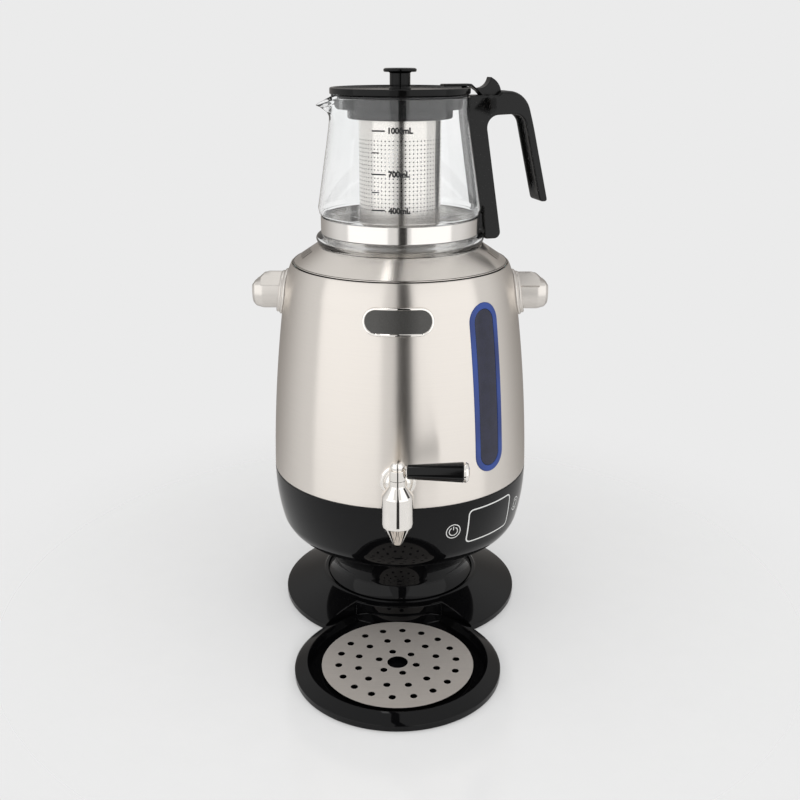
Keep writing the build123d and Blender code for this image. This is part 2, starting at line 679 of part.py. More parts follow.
def teapot_handle():
    """An open handle: the inner arm wraps the glass and is fixed to the pot, the outer arm hangs free."""
    points = [point for point, _ in HANDLE_POINTS]
    radii = [radius for _, radius in HANDLE_POINTS]
    outline = make_face(FilletPolyline(*points, radius=radii, close=True))
    body = flat_part(outline, HANDLE_W / 2)
    edges = body.faces().sort_by(Axis.Y)[0].edges() + body.faces().sort_by(Axis.Y)[-1].edges()
    body = fillet(edges, 1.2)
    body -= turned(glass_outline(-GAP))
    body -= ring(0, 54.8 + GAP, 415.0, 430.0)
    body -= strap_outline(0.1)
    body -= lever_pocket()
    body -= rod_y(*PIN, PIN_R + FIT, -20, 20)
    lean = math.degrees(math.atan2(113.9 - 99.6, 410.2 - 350.5))
    body -= Pos(101.9, 0, 379.0) * Rot(0, -lean, 0) * Cylinder(8.5, 52)
    body -= rod_x(0, HANDLE_SCREW_Z, SCREW_R + FIT, 60, 90)
    return body - rod_x(0, HANDLE_SCREW_Z, 3.0 + FIT, 78.4, 90)


def hinge_pin():
    return rod_y(*PIN, PIN_R, -HANDLE_W / 2 + 0.2, HANDLE_W / 2 - 0.2)


def strap_outline(grow):
    """The strip along the handle's inner arm, as far as the pot's axis."""
    return flat_part(make_face(Polyline(
        (50, 412.0 + grow), (55.8 + grow, 412.0 + grow), (66.3 + grow, 339.8), (66.8 + grow, 334.0 - grow),
        (50, 334.0 - grow), close=True)), 6.0 + grow)


def handle_strap():
    """The thin strip that backs the handle's inner arm and follows the glass."""
    return strap_outline(0.0) - turned(glass_outline(-GAP))


def handle_bracket():
    """The block that holds the handle to the band."""
    outline = make_face(Polyline((60, 320.5), (67.9, 320.5), (66.9, 332.5), (60, 332.5), close=True))
    body = flat_part(outline, 8.0)
    body -= ring(0, BAND[1] + FIT, 300, 340)
    return body - rod_x(0, HANDLE_SCREW_Z, SCREW_R + FIT, 60, 90)


def handle_screw():
    return rod_x(0, HANDLE_SCREW_Z, SCREW_R, 64.0, 80.5) + rod_x(0, HANDLE_SCREW_Z, 3.0, 78.5, 80.5)


def strainer_collar():
    """The stepped plastic collar that hangs the basket in the pot's mouth; it is cut away at the spout."""
    body = turned(make_face(Polyline(
        (53.4, RIM_Z + 0.2), (53.4, RIM_Z + 1.6), (46.6, RIM_Z + 1.6), (46.6, 417.0), (39.4, 416.0),
        (39.4, 410.0), (BASKET_R - 0.6, 410.0), (BASKET_R - 0.6, 408.6), (BASKET_R + 0.1, 408.6),
        (BASKET_R + 0.1, 407.9), (40.2, 407.9), (41.0, 408.6), (41.0, 414.8), (48.0, 415.2), (48.7, 416.0),
        (48.7, RIM_Z + 0.2), close=True)))
    return body - block((-70, -47.2), (-12, 12), (RIM_Z - 4, RIM_Z + 4))


def strainer_basket():
    (low, high), wall = BASKET, 0.5
    return turned(make_face(Polyline(
        (0, low), (BASKET_R - 1.6, low), (BASKET_R, low + 1.6), (BASKET_R, high), (BASKET_R - wall, high),
        (BASKET_R - wall, low + 1.8), (BASKET_R - 1.8, low + wall), (0, low + wall), close=True)))


# ---------------------------------------------------------------- lid
def lid_disc():
    body = turned(make_face(Polyline(
        (0, LID_Z), (41.0, LID_Z), (41.0, 422.4), (42.6, 422.4), (43.0, LID_Z), (LID_R - 0.8, LID_Z),
        (LID_R, LID_Z + 0.8), (LID_R, LID_TOP - 0.8), (LID_R - 0.8, LID_TOP), (LID_R - 2.4, LID_TOP),
        (LID_R - 3.6, LID_TOP - 1.0), (0, LID_TOP - 1.6), close=True)))
    return body - rod_z(0, 0, 2.0 + FIT, 420, 440)


def lid_knob():
    low = LID_TOP - 1.5
    body = turned(curve(
        Polyline((0, low), (8.6, low), (8.0, low + 1.4), (8.0, KNOB_TOP - 3.6), (9.2, KNOB_TOP - 2.8),
                 (12.0, KNOB_TOP - 2.8)),
        ThreePointArc((12.0, KNOB_TOP - 2.8), (12.9, KNOB_TOP - 1.6), (12.2, KNOB_TOP - 0.5)),
        Polyline((12.2, KNOB_TOP - 0.5), (11.4, KNOB_TOP), (9.6, KNOB_TOP - 0.5), (0, KNOB_TOP - 0.5),
                 (0, low))))
    return body - rod_z(0, 0, 2.0 + FIT, low - 1, low + 10)


def lid_knob_screw():
    return rod_z(0, 0, 2.0, LID_Z - 2.0, LID_TOP + 6.0) + rod_z(0, 0, 4.0, LID_Z - 2.0, LID_Z)


def lid_lever():
    """Arm along the lid, hub on the hinge pin and the thumb piece that stands up behind it."""
    pin_x, pin_z = PIN
    arm = flat_part(curve(
        Polyline((34.0, LID_TOP + 0.05), (34.0, 432.0), (35.4, 433.0), (57.0, 433.0), (60.4, 430.2)),
        ThreePointArc((60.4, 430.2), (67.4, 430.6), (73.0, 438.0)),
        ThreePointArc((73.0, 438.0), (78.4, 434.2), (81.6, 427.9)),
        Polyline((81.6, 427.9), (pin_x + 4.4, pin_z), (pin_x - 4.4, pin_z), (62.6, 427.2),
                 (57.0, LID_TOP + 0.05), (34.0, LID_TOP + 0.05))), LEVER_W / 2)
    body = arm + rod_y(pin_x, pin_z, 4.6, -LEVER_W / 2, LEVER_W / 2)
    return body - rod_y(pin_x, pin_z, PIN_R + FIT, -20, 20)


# ---------------------------------------------------------------- drip tray
def tray_top_outline():
    """Inner edge of the rim: a circle that opens along two tangents to the back corners."""
    back_y = -math.sqrt(TRAY_BACK_R ** 2 - TRAY_CORNER_X ** 2)
    reach = math.hypot(TRAY_CORNER_X, back_y - TRAY_Y)
    lean = math.atan2(TRAY_CORNER_X, back_y - TRAY_Y) + math.acos(TRAY_INNER_R / reach)
    touch = (TRAY_INNER_R * math.sin(lean), TRAY_Y + TRAY_INNER_R * math.cos(lean))
    corner = (TRAY_CORNER_X, back_y)
    return curve(
        ThreePointArc(touch, (0, TRAY_Y - TRAY_INNER_R), (-touch[0], touch[1])),
        Line((-touch[0], touch[1]), (-corner[0], corner[1])),
        ThreePointArc((-corner[0], corner[1]), (0, -TRAY_BACK_R), corner),
        Line(corner, touch))


def drip_tray():
    """A shallow round dish whose back is cut to the curve of the neck's base."""
    rim = Pos(0, TRAY_Y, 0) * revolve(Plane.XZ * make_face(Polyline(
        (0, TRAY_LOW), (TRAY_R - 0.5, TRAY_LOW), (TRAY_R, TRAY_LOW + 0.5), (TRAY_R, TRAY_EDGE - 0.4),
        (TRAY_R - 0.4, TRAY_EDGE), (TRAY_INNER_R, TRAY_TOP), (0, TRAY_TOP), close=True)), Axis.Z)
    rim -= rod_z(0, 0, TRAY_BACK_R, -1, 20)
    well = extrude(Pos(0, 0, TRAY_LOW + 1.4) * offset(tray_top_outline(), -0.9), 20)
    well -= rod_z(0, 0, TRAY_BACK_R + 1.8, -1, 30)
    body = rim - well
    rib = Pos(0, TRAY_Y, 0) * ring(53.0, 55.5, TRAY_LOW + 1.0, GRILLE_Z)
    return body + rib


def tray_pads():
    places = [(52.0 * math.sin(a), TRAY_Y - 52.0 * math.cos(a)) for a in (-1.0, 0.0, 1.0)]
    return [rod_z(x, y, 5.0, 0, TRAY_LOW) for x, y in places]


GRILLE_RINGS = ((6, 15.0, -16.0), (12, 31.3, 14.0), (18, 46.0, 4.0))     # holes, radius, first angle


def drip_grille():
    plate = rod_z(0, TRAY_Y, GRILLE_R, GRILLE_Z, GRILLE_Z + GRILLE_T)
    plate -= rod_z(0, TRAY_Y, 8.0, 0, 10)
    for count, radius, first in GRILLE_RINGS:
        for step in range(count):
            angle = math.radians(first + 360.0 * step / count)
            plate -= rod_z(radius * math.sin(angle), TRAY_Y + radius * math.cos(angle), 2.75, 0, 10)
    return plate


# ---------------------------------------------------------------- all the pieces
save("base_disc", base_disc())
save("base_plate", base_plate())
save("rubber_feet", *rubber_feet())
save("base_screws", *[screw(x, y, PLATE_LOW, 10.0) for x, y in BASE_SCREWS])
save("neck_ring", neck_ring())
save("neck_screws", *neck_screws())
save("lower_bowl", lower_bowl())
save("power_inlet", power_inlet())
save("tank_posts", *tank_posts())
save("power_board", power_board())
save("power_board_parts", *power_board_parts())
save("board_screws", *board_screws())
save("display_board", display_board())
save("display_module", display_module())
save("water_tank", water_tank())
save("heater_plate", heater_plate())
save("heating_element", heating_element())
save("thermostats", *thermostats())
save("thermal_fuse", thermal_fuse())
save("temperature_sensor", temperature_sensor())
save("outer_shell", outer_shell())
save("seam_gasket", seam_gasket())
save("window_ring", window_ring())
save("window_lens", window_lens())
save("window_gasket", window_gasket())
save("led_strip", led_strip())
save("badge_rim", badge_rim())
save("badge_plate", badge_plate())
for name, side in (("left", -1), ("right", 1)):
    save(f"{name}_lug", lug(side))
    save(f"{name}_lug_collar", lug_collar(side))
save("lug_bolts", *lug_bolts())
save("tap_rosette", tap_rosette())
save("tap_stem", tap_stem())
save("tap_washer", tap_washer())
save("tap_nut", tap_nut())
save("tap_body", tap_body())
save("tap_key", tap_key())
save("lever_rod", lever_rod())
save("lever_grip", lever_grip())
save("lever_end_cap", lever_end_cap())
save("top_cover", top_cover())
save("cover_gasket", cover_gasket())
TEAPOT = {
    "teapot_glass": teapot_glass(),
    "teapot_band": teapot_band(),
    "teapot_handle": teapot_handle(),
    "hinge_pin": hinge_pin(),
    "handle_strap": handle_strap(),
    "handle_bracket": handle_bracket(),
    "handle_screw": handle_screw(),
    "strainer_collar": strainer_collar(),
    "strainer_basket": strainer_basket(),
    "lid_disc": lid_disc(),
    "lid_knob": lid_knob(),
    "lid_knob_screw": lid_knob_screw(),
    "lid_lever": lid_lever(),
}
for node, shape in TEAPOT.items():
    save(node, Rot(0, 0, POT_TURN) * shape)
save("drip_tray", drip_tray())
save("tray_pads", *tray_pads())
save("drip_grille", drip_grille())
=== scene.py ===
# %% [markdown]
# # An electric samovar with a glass teapot
# The samovar's solids already exist: every piece has its real size and its place. This lesson gives them
# their looks. Where a solid only needs a finish, it keeps its own mesh. Where light shows every facet, as on
# brushed steel, chrome and glass, the piece is made again as a smooth surface worked out with numpy.

# %% Load the frame
import bpy
import bmesh
import math
import numpy as np
from mathutils.geometry import delaunay_2d_cdt
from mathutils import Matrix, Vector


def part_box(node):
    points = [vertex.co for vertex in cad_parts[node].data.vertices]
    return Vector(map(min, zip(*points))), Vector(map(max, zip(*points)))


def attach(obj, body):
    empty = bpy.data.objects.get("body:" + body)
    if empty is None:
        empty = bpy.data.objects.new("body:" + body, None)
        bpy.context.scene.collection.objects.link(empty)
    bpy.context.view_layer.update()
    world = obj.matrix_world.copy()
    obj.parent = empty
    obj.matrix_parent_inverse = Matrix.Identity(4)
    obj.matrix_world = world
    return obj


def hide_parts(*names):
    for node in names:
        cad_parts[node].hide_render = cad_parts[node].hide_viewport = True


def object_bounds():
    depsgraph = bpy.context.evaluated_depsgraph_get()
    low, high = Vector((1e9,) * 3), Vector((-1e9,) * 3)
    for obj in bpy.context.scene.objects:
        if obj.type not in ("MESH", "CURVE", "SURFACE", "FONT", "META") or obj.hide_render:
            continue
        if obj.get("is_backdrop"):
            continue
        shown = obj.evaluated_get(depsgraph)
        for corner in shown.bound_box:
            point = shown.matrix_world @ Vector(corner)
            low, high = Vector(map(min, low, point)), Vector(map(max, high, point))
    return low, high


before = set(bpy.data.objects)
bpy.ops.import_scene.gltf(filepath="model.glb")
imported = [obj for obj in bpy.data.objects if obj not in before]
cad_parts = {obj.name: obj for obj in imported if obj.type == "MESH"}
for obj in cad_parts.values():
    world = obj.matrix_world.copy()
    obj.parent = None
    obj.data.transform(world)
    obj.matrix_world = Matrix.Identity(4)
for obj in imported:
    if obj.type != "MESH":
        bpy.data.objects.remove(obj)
cad_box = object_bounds()

# %% [markdown]
# ## Numbers
# All shapes are worked out in millimetres, because that is how a maker reads a samovar, and turned into
# metres at the last moment. A few sizes come from the frame itself, so the surfaces keep to the solids.

# %% Sizes taken from the frame
MM = 0.001


def limits(node):
    """Lowest and highest corner of a node, in millimetres."""
    low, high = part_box(node)
    return np.array(low) / MM, np.array(high) / MM


SEAM_Z = limits("lower_bowl")[1][2] - 4.0          # a lip of 4 mm stands up inside the barrel
BASE_R = limits("base_disc")[1][0]
TRAY_R = limits("drip_tray")[1][0]
TRAY_Y = limits("drip_tray")[0][1] + TRAY_R
TAP_Y = (limits("tap_key")[0][1] + limits("tap_key")[1][1]) / 2
pin_x, pin_y, PIN_Z = (limits("hinge_pin")[0] + limits("hinge_pin")[1]) / 2
PIN_U, POT_TURN = math.hypot(pin_x, pin_y), math.atan2(pin_y, pin_x)       # the whole pot stands turned
print("seam", round(SEAM_Z, 1), "tray centre", round(TRAY_Y, 1), "tap", round(TAP_Y, 1))
print("hinge pin", round(PIN_U, 2), "mm out, pot turned by", round(math.degrees(POT_TURN), 1), "degrees")

# %% [markdown]
# ## Outlines
# Most pieces of a samovar are spun on a lathe, so they start as a line of (radius, height) points. Two
# tools draw such lines: an arc through three points, and a polyline whose corners are rounded off. A real
# edge is never quite sharp, and the narrow highlight along it is what makes a render look like metal.


# %% Arcs and rounded corners
def arc(first, middle, last, count=24):
    """Points at equal angles on the circle through three points, from the first by way of the middle. The
    points are taken as complex numbers: with w = (last - first) / (middle - first), the centre is
    first + (middle - first) (w - |w|^2) / (2i Im w)."""
    first, middle, last = complex(*first), complex(*middle), complex(*last)
    w = (last - first) / (middle - first)
    centre = first + (middle - first) * (w - abs(w) ** 2) / (2j * w.imag)
    start, between, end = (np.angle(point - centre) for point in (first, middle, last))
    turn = (end - start) % (2 * np.pi)
    if (between - start) % (2 * np.pi) > turn:
        turn -= 2 * np.pi
    angle = start + turn * np.linspace(0, 1, count)
    radius = abs(first - centre)
    return np.stack([centre.real + radius * np.cos(angle), centre.imag + radius * np.sin(angle)], -1)


def rounded(corners, closed=False, steps=5):
    """Each row is x, y and a corner radius. With half the corner's angle h, the arc starts R / tan h before
    the corner and its centre lies R / sin h along the bisector; the points turn evenly about that centre."""
    rows = np.array(corners, float)
    point, radius = rows[:, :2], rows[:, 2]
    before, after = np.roll(point, 1, 0) - point, np.roll(point, -1, 0) - point
    before /= np.linalg.norm(before, axis=1, keepdims=True)
    after /= np.linalg.norm(after, axis=1, keepdims=True)
    half = np.arccos(np.clip((before * after).sum(1), -0.99999, 0.99999)) / 2
    bisector = (before + after) / np.linalg.norm(before + after, axis=1, keepdims=True)
    centre = point + bisector * (radius / np.sin(half))[:, None]
    reach = (radius / np.tan(half))[:, None]
    start, end = point + before * reach - centre, point + after * reach - centre
    turn, share = (np.pi - 2 * half)[:, None, None], np.linspace(0, 1, steps + 1)[None, :, None]
    mixed = (np.sin((1 - share) * turn) * start[:, None] + np.sin(share * turn) * end[:, None]) / np.sin(turn)
    made = centre[:, None] + mixed
    if not closed:
        made[0], made[-1] = point[0], point[-1]
    return distinct(made.reshape(-1, 2))


def distinct(points):
    """The same line without points that repeat their neighbour."""
    far = np.linalg.norm(np.diff(points, axis=0), axis=1) > 1e-6
    return points[np.concatenate([[True], far])]


def spaced(points, count, closed=False):
    """The same line with its points at equal distances along it."""
    line = np.concatenate([points, points[:1]]) if closed else points
    along = np.concatenate([[0], np.cumsum(np.linalg.norm(np.diff(line, axis=0), axis=1))])
    wanted = np.linspace(0, along[-1], count, endpoint=not closed)
    return np.stack([np.interp(wanted, along, line[:, k]) for k in range(line.shape[1])], -1)


print("a rounded corner has", len(rounded([(0, 0, 0), (10, 0, 2), (10, 10, 0)])), "points")

# %% [markdown]
# ## From points to faces
# A surface is a grid: rows along the outline, columns around it. Its faces need no loop over the points,
# because the corner numbers of all squares are four shifted copies of one array of numbers.


# %% Grids and spun surfaces
def squares(rows, columns, closed_rows=False):
    """Corner numbers of the squares between the rows of a grid whose columns close up to a ring."""
    r = np.arange(rows if closed_rows else rows - 1)[:, None]
    c = np.arange(columns)[None]
    r2, c2 = (r + 1) % rows, (c + 1) % columns
    corners = np.broadcast_arrays(r * columns + c, r * columns + c2, r2 * columns + c2, r2 * columns + c)
    return np.stack(corners, -1).reshape(-1, 4)


def xyz(x, y, z):
    """Three arrays, stretched to one size, as one list of points."""
    return np.stack(np.broadcast_arrays(x, y, z), -1).reshape(-1, 3)


def around(count):
    """Equal angles once around."""
    return np.linspace(0, 2 * np.pi, count, endpoint=False)


def spun(profile, columns=144, closed=False, centre=(0, 0, 0), axis="z"):
    """Radius and height turned about an axis: x = r cos a, y = r sin a, z = height, then the axes are
    swapped so that the height runs along the wanted axis."""
    r, h, a = profile[:, 0, None], profile[:, 1, None], around(columns)
    turned = {"z": (r * np.cos(a), r * np.sin(a), h), "y": (r * np.sin(a), -h, r * np.cos(a)),
              "x": (h, r * np.cos(a), r * np.sin(a))}[axis]
    return xyz(*turned) + centre, squares(len(profile), columns, closed_rows=closed)


print("squares of a 3 by 4 ring:", len(squares(3, 4)))


# %% Slabs and sheets with openings
def inward_normals(outline):
    """Unit normals of a closed line: each point's direction of travel turned by 90 degrees, to the inside."""
    travel = np.roll(outline, -1, 0) - np.roll(outline, 1, 0)
    area = (outline[:, 0] * np.roll(outline[:, 1], -1) - np.roll(outline[:, 0], -1) * outline[:, 1]).sum()
    normal = np.stack([-travel[:, 1], travel[:, 0]], -1) * np.sign(area)
    return normal / np.linalg.norm(normal, axis=1, keepdims=True)


def slab(outline, half_width, edge):
    """An outline in x and z carried along y. Near both ends it draws in along its normals by
    edge (1 - cos t) while y slows down as edge sin t, which rounds the rim; a flat face closes each end."""
    t = np.linspace(0, np.pi / 2, 5)
    draw, grow = edge * (1 - np.cos(t)), half_width - edge + edge * np.sin(t)
    draw, y = np.concatenate([draw[::-1], draw]), np.concatenate([-grow[::-1], grow])
    flat = outline + inward_normals(outline) * draw[:, None, None]
    count = len(outline)
    ends = [list(range(count)), list(range((len(y) - 1) * count, len(y) * count))]
    return xyz(flat[..., 0], y[:, None], flat[..., 1]), squares(len(y), count).tolist() + ends


def opened_sheet(u, v, openings, rings=3):
    """A grid over u and v in which blocks of cells are opened up. The border of each block is pulled onto
    the edge of its opening, and rings of squares in equal steps join the two."""
    grid = np.stack(np.meshgrid(u, v, indexing="ij"), -1).reshape(-1, 2)
    number = np.arange(len(grid)).reshape(len(u), len(v))
    kept = np.ones((len(u) - 1, len(v) - 1), bool)
    points, faces, count = [grid], [], len(grid)
    for first_u, first_v, wide, tall, pull in openings:
        first_u, first_v = (k.ravel()[:, None] for k in np.broadcast_arrays(first_u, first_v))
        across, up = np.divmod(np.arange(wide * tall), tall)
        kept[first_u + across, first_v + up] = False
        u_walk = np.concatenate([np.arange(wide), [wide] * tall, np.arange(wide, 0, -1), [0] * tall])
        v_walk = np.concatenate([[0] * wide, np.arange(tall), [tall] * wide, np.arange(tall, 0, -1)])
        border = number[first_u + u_walk, first_v + v_walk]
        outer = grid[border]
        share = (np.arange(1, rings + 1) / rings)[None, :, None, None]
        inner = outer[:, None] + (pull(outer) - outer)[:, None] * share
        numbers = count + np.arange(inner[..., 0].size).reshape(inner.shape[:3])
        loops = np.concatenate([border[:, None], numbers], 1)
        ahead = np.roll(loops, -1, axis=2)
        faces.append(np.stack([loops[:, :-1], ahead[:, :-1], ahead[:, 1:], loops[:, 1:]], -1).reshape(-1, 4))
        points.append(inner.reshape(-1, 2))
        count += numbers.size
    i, j = np.nonzero(kept)
    faces.append(np.stack([number[i, j], number[i + 1, j], number[i + 1, j + 1], number[i, j + 1]], -1))
    return np.concatenate(points), np.concatenate(faces)


square = np.array([(0, 0), (1, 0), (1, 1), (0, 1)])
print("inward from a square's first corner:", inward_normals(square)[0].round(2))

# %% [markdown]
# ## Finishes
# Each finish is a Principled shader with a little procedural life in it. The noise reads Object
# coordinates, and a Mapping node stretches it: a small scale along one axis and a large one along another
# draws the noise out into brush marks. Colours are written as screen values from 0 to 255.


# %% Helpers for node materials
def shade(*screen):
    """A screen colour as the linear colour that shaders use."""
    value = np.array(screen, float) / 255
    linear = np.where(value <= 0.04045, value / 12.92, ((value + 0.055) / 1.055) ** 2.4)
    return (*linear.tolist(), 1.0)


def connect(node, inputs):
    """Fills a node's sockets, by name or number: a value is written in, another node's output is linked."""
    for socket, value in inputs.items():
        if isinstance(value, bpy.types.NodeSocket):
            node.id_data.links.new(value, node.inputs[socket])
        else:
            node.inputs[socket].default_value = value


def add_node(tree, kind, inputs=(), **settings):
    """A new shader node with its settings and sockets filled in."""
    made = tree.nodes.new("ShaderNode" + kind)
    for setting, value in settings.items():
        setattr(made, setting, value)
    connect(made, dict(inputs))
    return made


finishes = {}


class Finish:
    """A Principled material and the few nodes that give it grain, tint and relief."""

    def __init__(self, name, **settings):
        finishes[name] = self.material = bpy.data.materials.new(name)
        self.material.use_nodes = True
        self.tree = self.material.node_tree
        self.shader = self.tree.nodes["Principled BSDF"]
        connect(self.shader, {socket.replace("_", " "): value for socket, value in settings.items()})

    def noise(self, scale, detail=3.0):
        """Noise over Object coordinates, with a scale for each axis, in cycles per metre."""
        place = add_node(self.tree, "TexCoord").outputs["Object"]
        stretch = add_node(self.tree, "Mapping", {"Vector": place, "Scale": scale}).outputs["Vector"]
        inputs = {"Vector": stretch, "Scale": 1.0, "Detail": detail, "Roughness": 0.6}
        return add_node(self.tree, "TexNoise", inputs).outputs["Fac"]

    def gloss(self, source, smooth, rough):
        """Roughness that runs from smooth to rough over the noise's middle range."""
        inputs = {"Value": source, "From Min": 0.3, "From Max": 0.7, "To Min": smooth, "To Max": rough}
        connect(self.shader, {"Roughness": add_node(self.tree, "MapRange", inputs).outputs["Result"]})

    def tint(self, source, dark, light, target="Base Color", span=(0.3, 0.7)):
        """A colour that runs from dark to light with the noise."""
        ramp = add_node(self.tree, "ValToRGB", {"Fac": source})
        for end, position, colour in zip(ramp.color_ramp.elements, span, (dark, light)):
            end.position, end.color = position, shade(*colour)
        connect(self.shader, {target: ramp.outputs["Color"]})

    def relief(self, source, strength, depth=0.00002):
        """The noise as height, in metres."""
        bump = add_node(self.tree, "Bump", {"Height": source, "Strength": strength, "Distance": depth})
        connect(self.shader, {"Normal": bump.outputs["Normal"]})


# %% Metals
def brushed(name, dark, light, rough, scale, aniso=0.0, strength=0.12, metal=1.0):
    """Steel with brush marks; the marks are long where the noise is stretched. Where they run around the
    upright axis, reflections smear up and down. A metal below 1 is for a grainy matt face, which also
    scatters light as paper does."""
    f = Finish(name, Metallic=metal, Anisotropic=aniso)
    grain = f.noise(scale)
    f.tint(grain, dark, light)
    f.gloss(grain, *rough)
    f.relief(grain, strength)
    if aniso:
        around = add_node(f.tree, "Tangent", direction_type="RADIAL", axis="Z").outputs["Tangent"]
        connect(f.shader, {"Tangent": around, "Anisotropic Rotation": 0.25})


AROUND = (25.0, 25.0, 5200.0)      # marks that run around an upright surface
brushed("brushed_barrel", (226, 220, 213), (230, 224, 217), (0.30, 0.32), AROUND, aniso=1.0, strength=0.01)
brushed("brushed_cover", (224, 218, 211), (229, 223, 216), (0.22, 0.24), AROUND, aniso=0.9, strength=0.01)
brushed("band_steel", (232, 228, 223), (236, 232, 228), (0.17, 0.19), AROUND, aniso=0.9, strength=0.01)
brushed("basket_steel", (226, 222, 217), (232, 228, 223), (0.22, 0.26), AROUND, aniso=0.9, strength=0.01)
# steel_in_shade is painted shade: a darker steel for inner sides, hole walls and the cover's skirt, where
# shade falls.
brushed("steel_in_shade", (50, 48, 46), (62, 60, 58), (0.45, 0.55), AROUND)
brushed("grille_steel", (216, 209, 202), (224, 217, 210), (0.42, 0.48), (30.0, 2600.0, 30.0), strength=0.02,
        metal=0.6)
brushed("satin_metal", (218, 213, 207), (222, 217, 211), (0.30, 0.33), (40.0, 900.0, 900.0), strength=0.01)
brushed("plain_steel", (190, 190, 190), (208, 208, 208), (0.25, 0.40), (200.0, 200.0, 900.0))
brushed("screw_steel", (176, 176, 178), (200, 200, 202), (0.22, 0.36), (900.0, 900.0, 300.0))
brushed("aluminium", (188, 190, 192), (206, 208, 210), (0.30, 0.45), (300.0, 300.0, 300.0))
brushed("brass", (186, 150, 88), (206, 172, 108), (0.20, 0.34), (500.0, 500.0, 500.0))
brushed("chrome", (238, 234, 228), (244, 240, 235), (0.02, 0.04), (60.0, 60.0, 60.0), strength=0.002)
print("metals:", len(finishes))


# %% Plastics, rubber and ink
def moulded(name, dark, light, rough, scale, strength=0.05, **settings):
    """Moulded plastic: an even colour with a faint cloud in it and a fine surface relief."""
    f = Finish(name, **settings)
    cloud = f.noise((scale, scale, scale), detail=4.0)
    f.tint(cloud, dark, light)
    f.gloss(cloud, *rough)
    f.relief(cloud, strength)


moulded("black_gloss", (8, 8, 9), (11, 11, 12), (0.04, 0.06), 60.0, strength=0.01, IOR=1.30)
moulded("lid_black", (7, 7, 7), (10, 10, 10), (0.08, 0.12), 220.0, strength=0.01, IOR=1.29)
moulded("black_satin", (12, 12, 12), (16, 16, 16), (0.24, 0.30), 1500.0, strength=0.03, IOR=1.34)
moulded("black_lever", (8, 8, 8), (11, 11, 11), (0.07, 0.10), 300.0, strength=0.01, IOR=1.40)
moulded("component_black", (24, 24, 26), (36, 36, 38), (0.45, 0.60), 900.0, strength=0.2)
moulded("rubber", (22, 22, 22), (34, 34, 33), (0.60, 0.80), 1200.0, strength=0.3)
moulded("silicone", (196, 196, 192), (214, 214, 210), (0.45, 0.60), 400.0, Subsurface_Weight=0.2)
moulded("badge_face", (72, 71, 69), (80, 79, 77), (0.28, 0.31), 900.0, strength=0.003, Metallic=0.6)
moulded("white_ink", (218, 218, 216), (236, 236, 234), (0.35, 0.50), 1500.0)
moulded("black_ink", (14, 14, 14), (24, 24, 24), (0.40, 0.55), 1500.0)
moulded("navy_lens", (22, 24, 44), (30, 32, 56), (0.12, 0.20), 120.0)
print("plastics and inks:", len(finishes))


# %% Circuit board, light guide, glass and smoke
board = Finish("circuit_board", Roughness=0.35)             # green lacquer; stretched noise draws the tracks
tracks = board.noise((900.0, 40.0, 40.0), detail=0.0)
board.tint(tracks, (18, 74, 42), (34, 110, 62), span=(0.45, 0.55))
board.relief(tracks, 0.3, 0.00005)

guide = Finish("blue_light_guide", Roughness=0.3, Emission_Strength=0.17)       # lit from behind, unevenly
cloud = guide.noise((40.0, 40.0, 28.0), detail=1.0)
guide.tint(cloud, (18, 38, 92), (30, 58, 128))
guide.tint(cloud, (12, 50, 132), (30, 80, 172), target="Emission Color")

glass = Finish("clear_glass", Roughness=0.0, IOR=1.47, Transmission_Weight=1.0)
ripple = glass.noise((14.0, 14.0, 22.0), detail=1.0)        # bends what is seen through the glass
glass.tint(ripple, (250, 251, 251), (255, 255, 255))
glass.relief(ripple, 0.05, 0.0002)

smoke = Finish("smoke_plastic", IOR=1.45, Transmission_Weight=0.75)
cloud = smoke.noise((60.0, 60.0, 60.0), detail=2.0)
smoke.tint(cloud, (62, 62, 63), (76, 76, 77))
smoke.gloss(cloud, 0.10, 0.20)
print("all finishes:", sorted(finishes))

# %% [markdown]
# ## Making a piece
# Every new piece goes through one function. It welds the seam and the poles of the grid, turns the faces
# outerwards, lets the piece ride on its body, and hides the solid that it stands for. A sheet gets its wall
# before the sharp edges are looked for, because the edges around its holes only exist from then on.


# %% From arrays to a piece
def put(name, data):
    """A new object in the scene."""
    made = bpy.data.objects.new(name, data)
    bpy.context.scene.collection.objects.link(made)
    return made


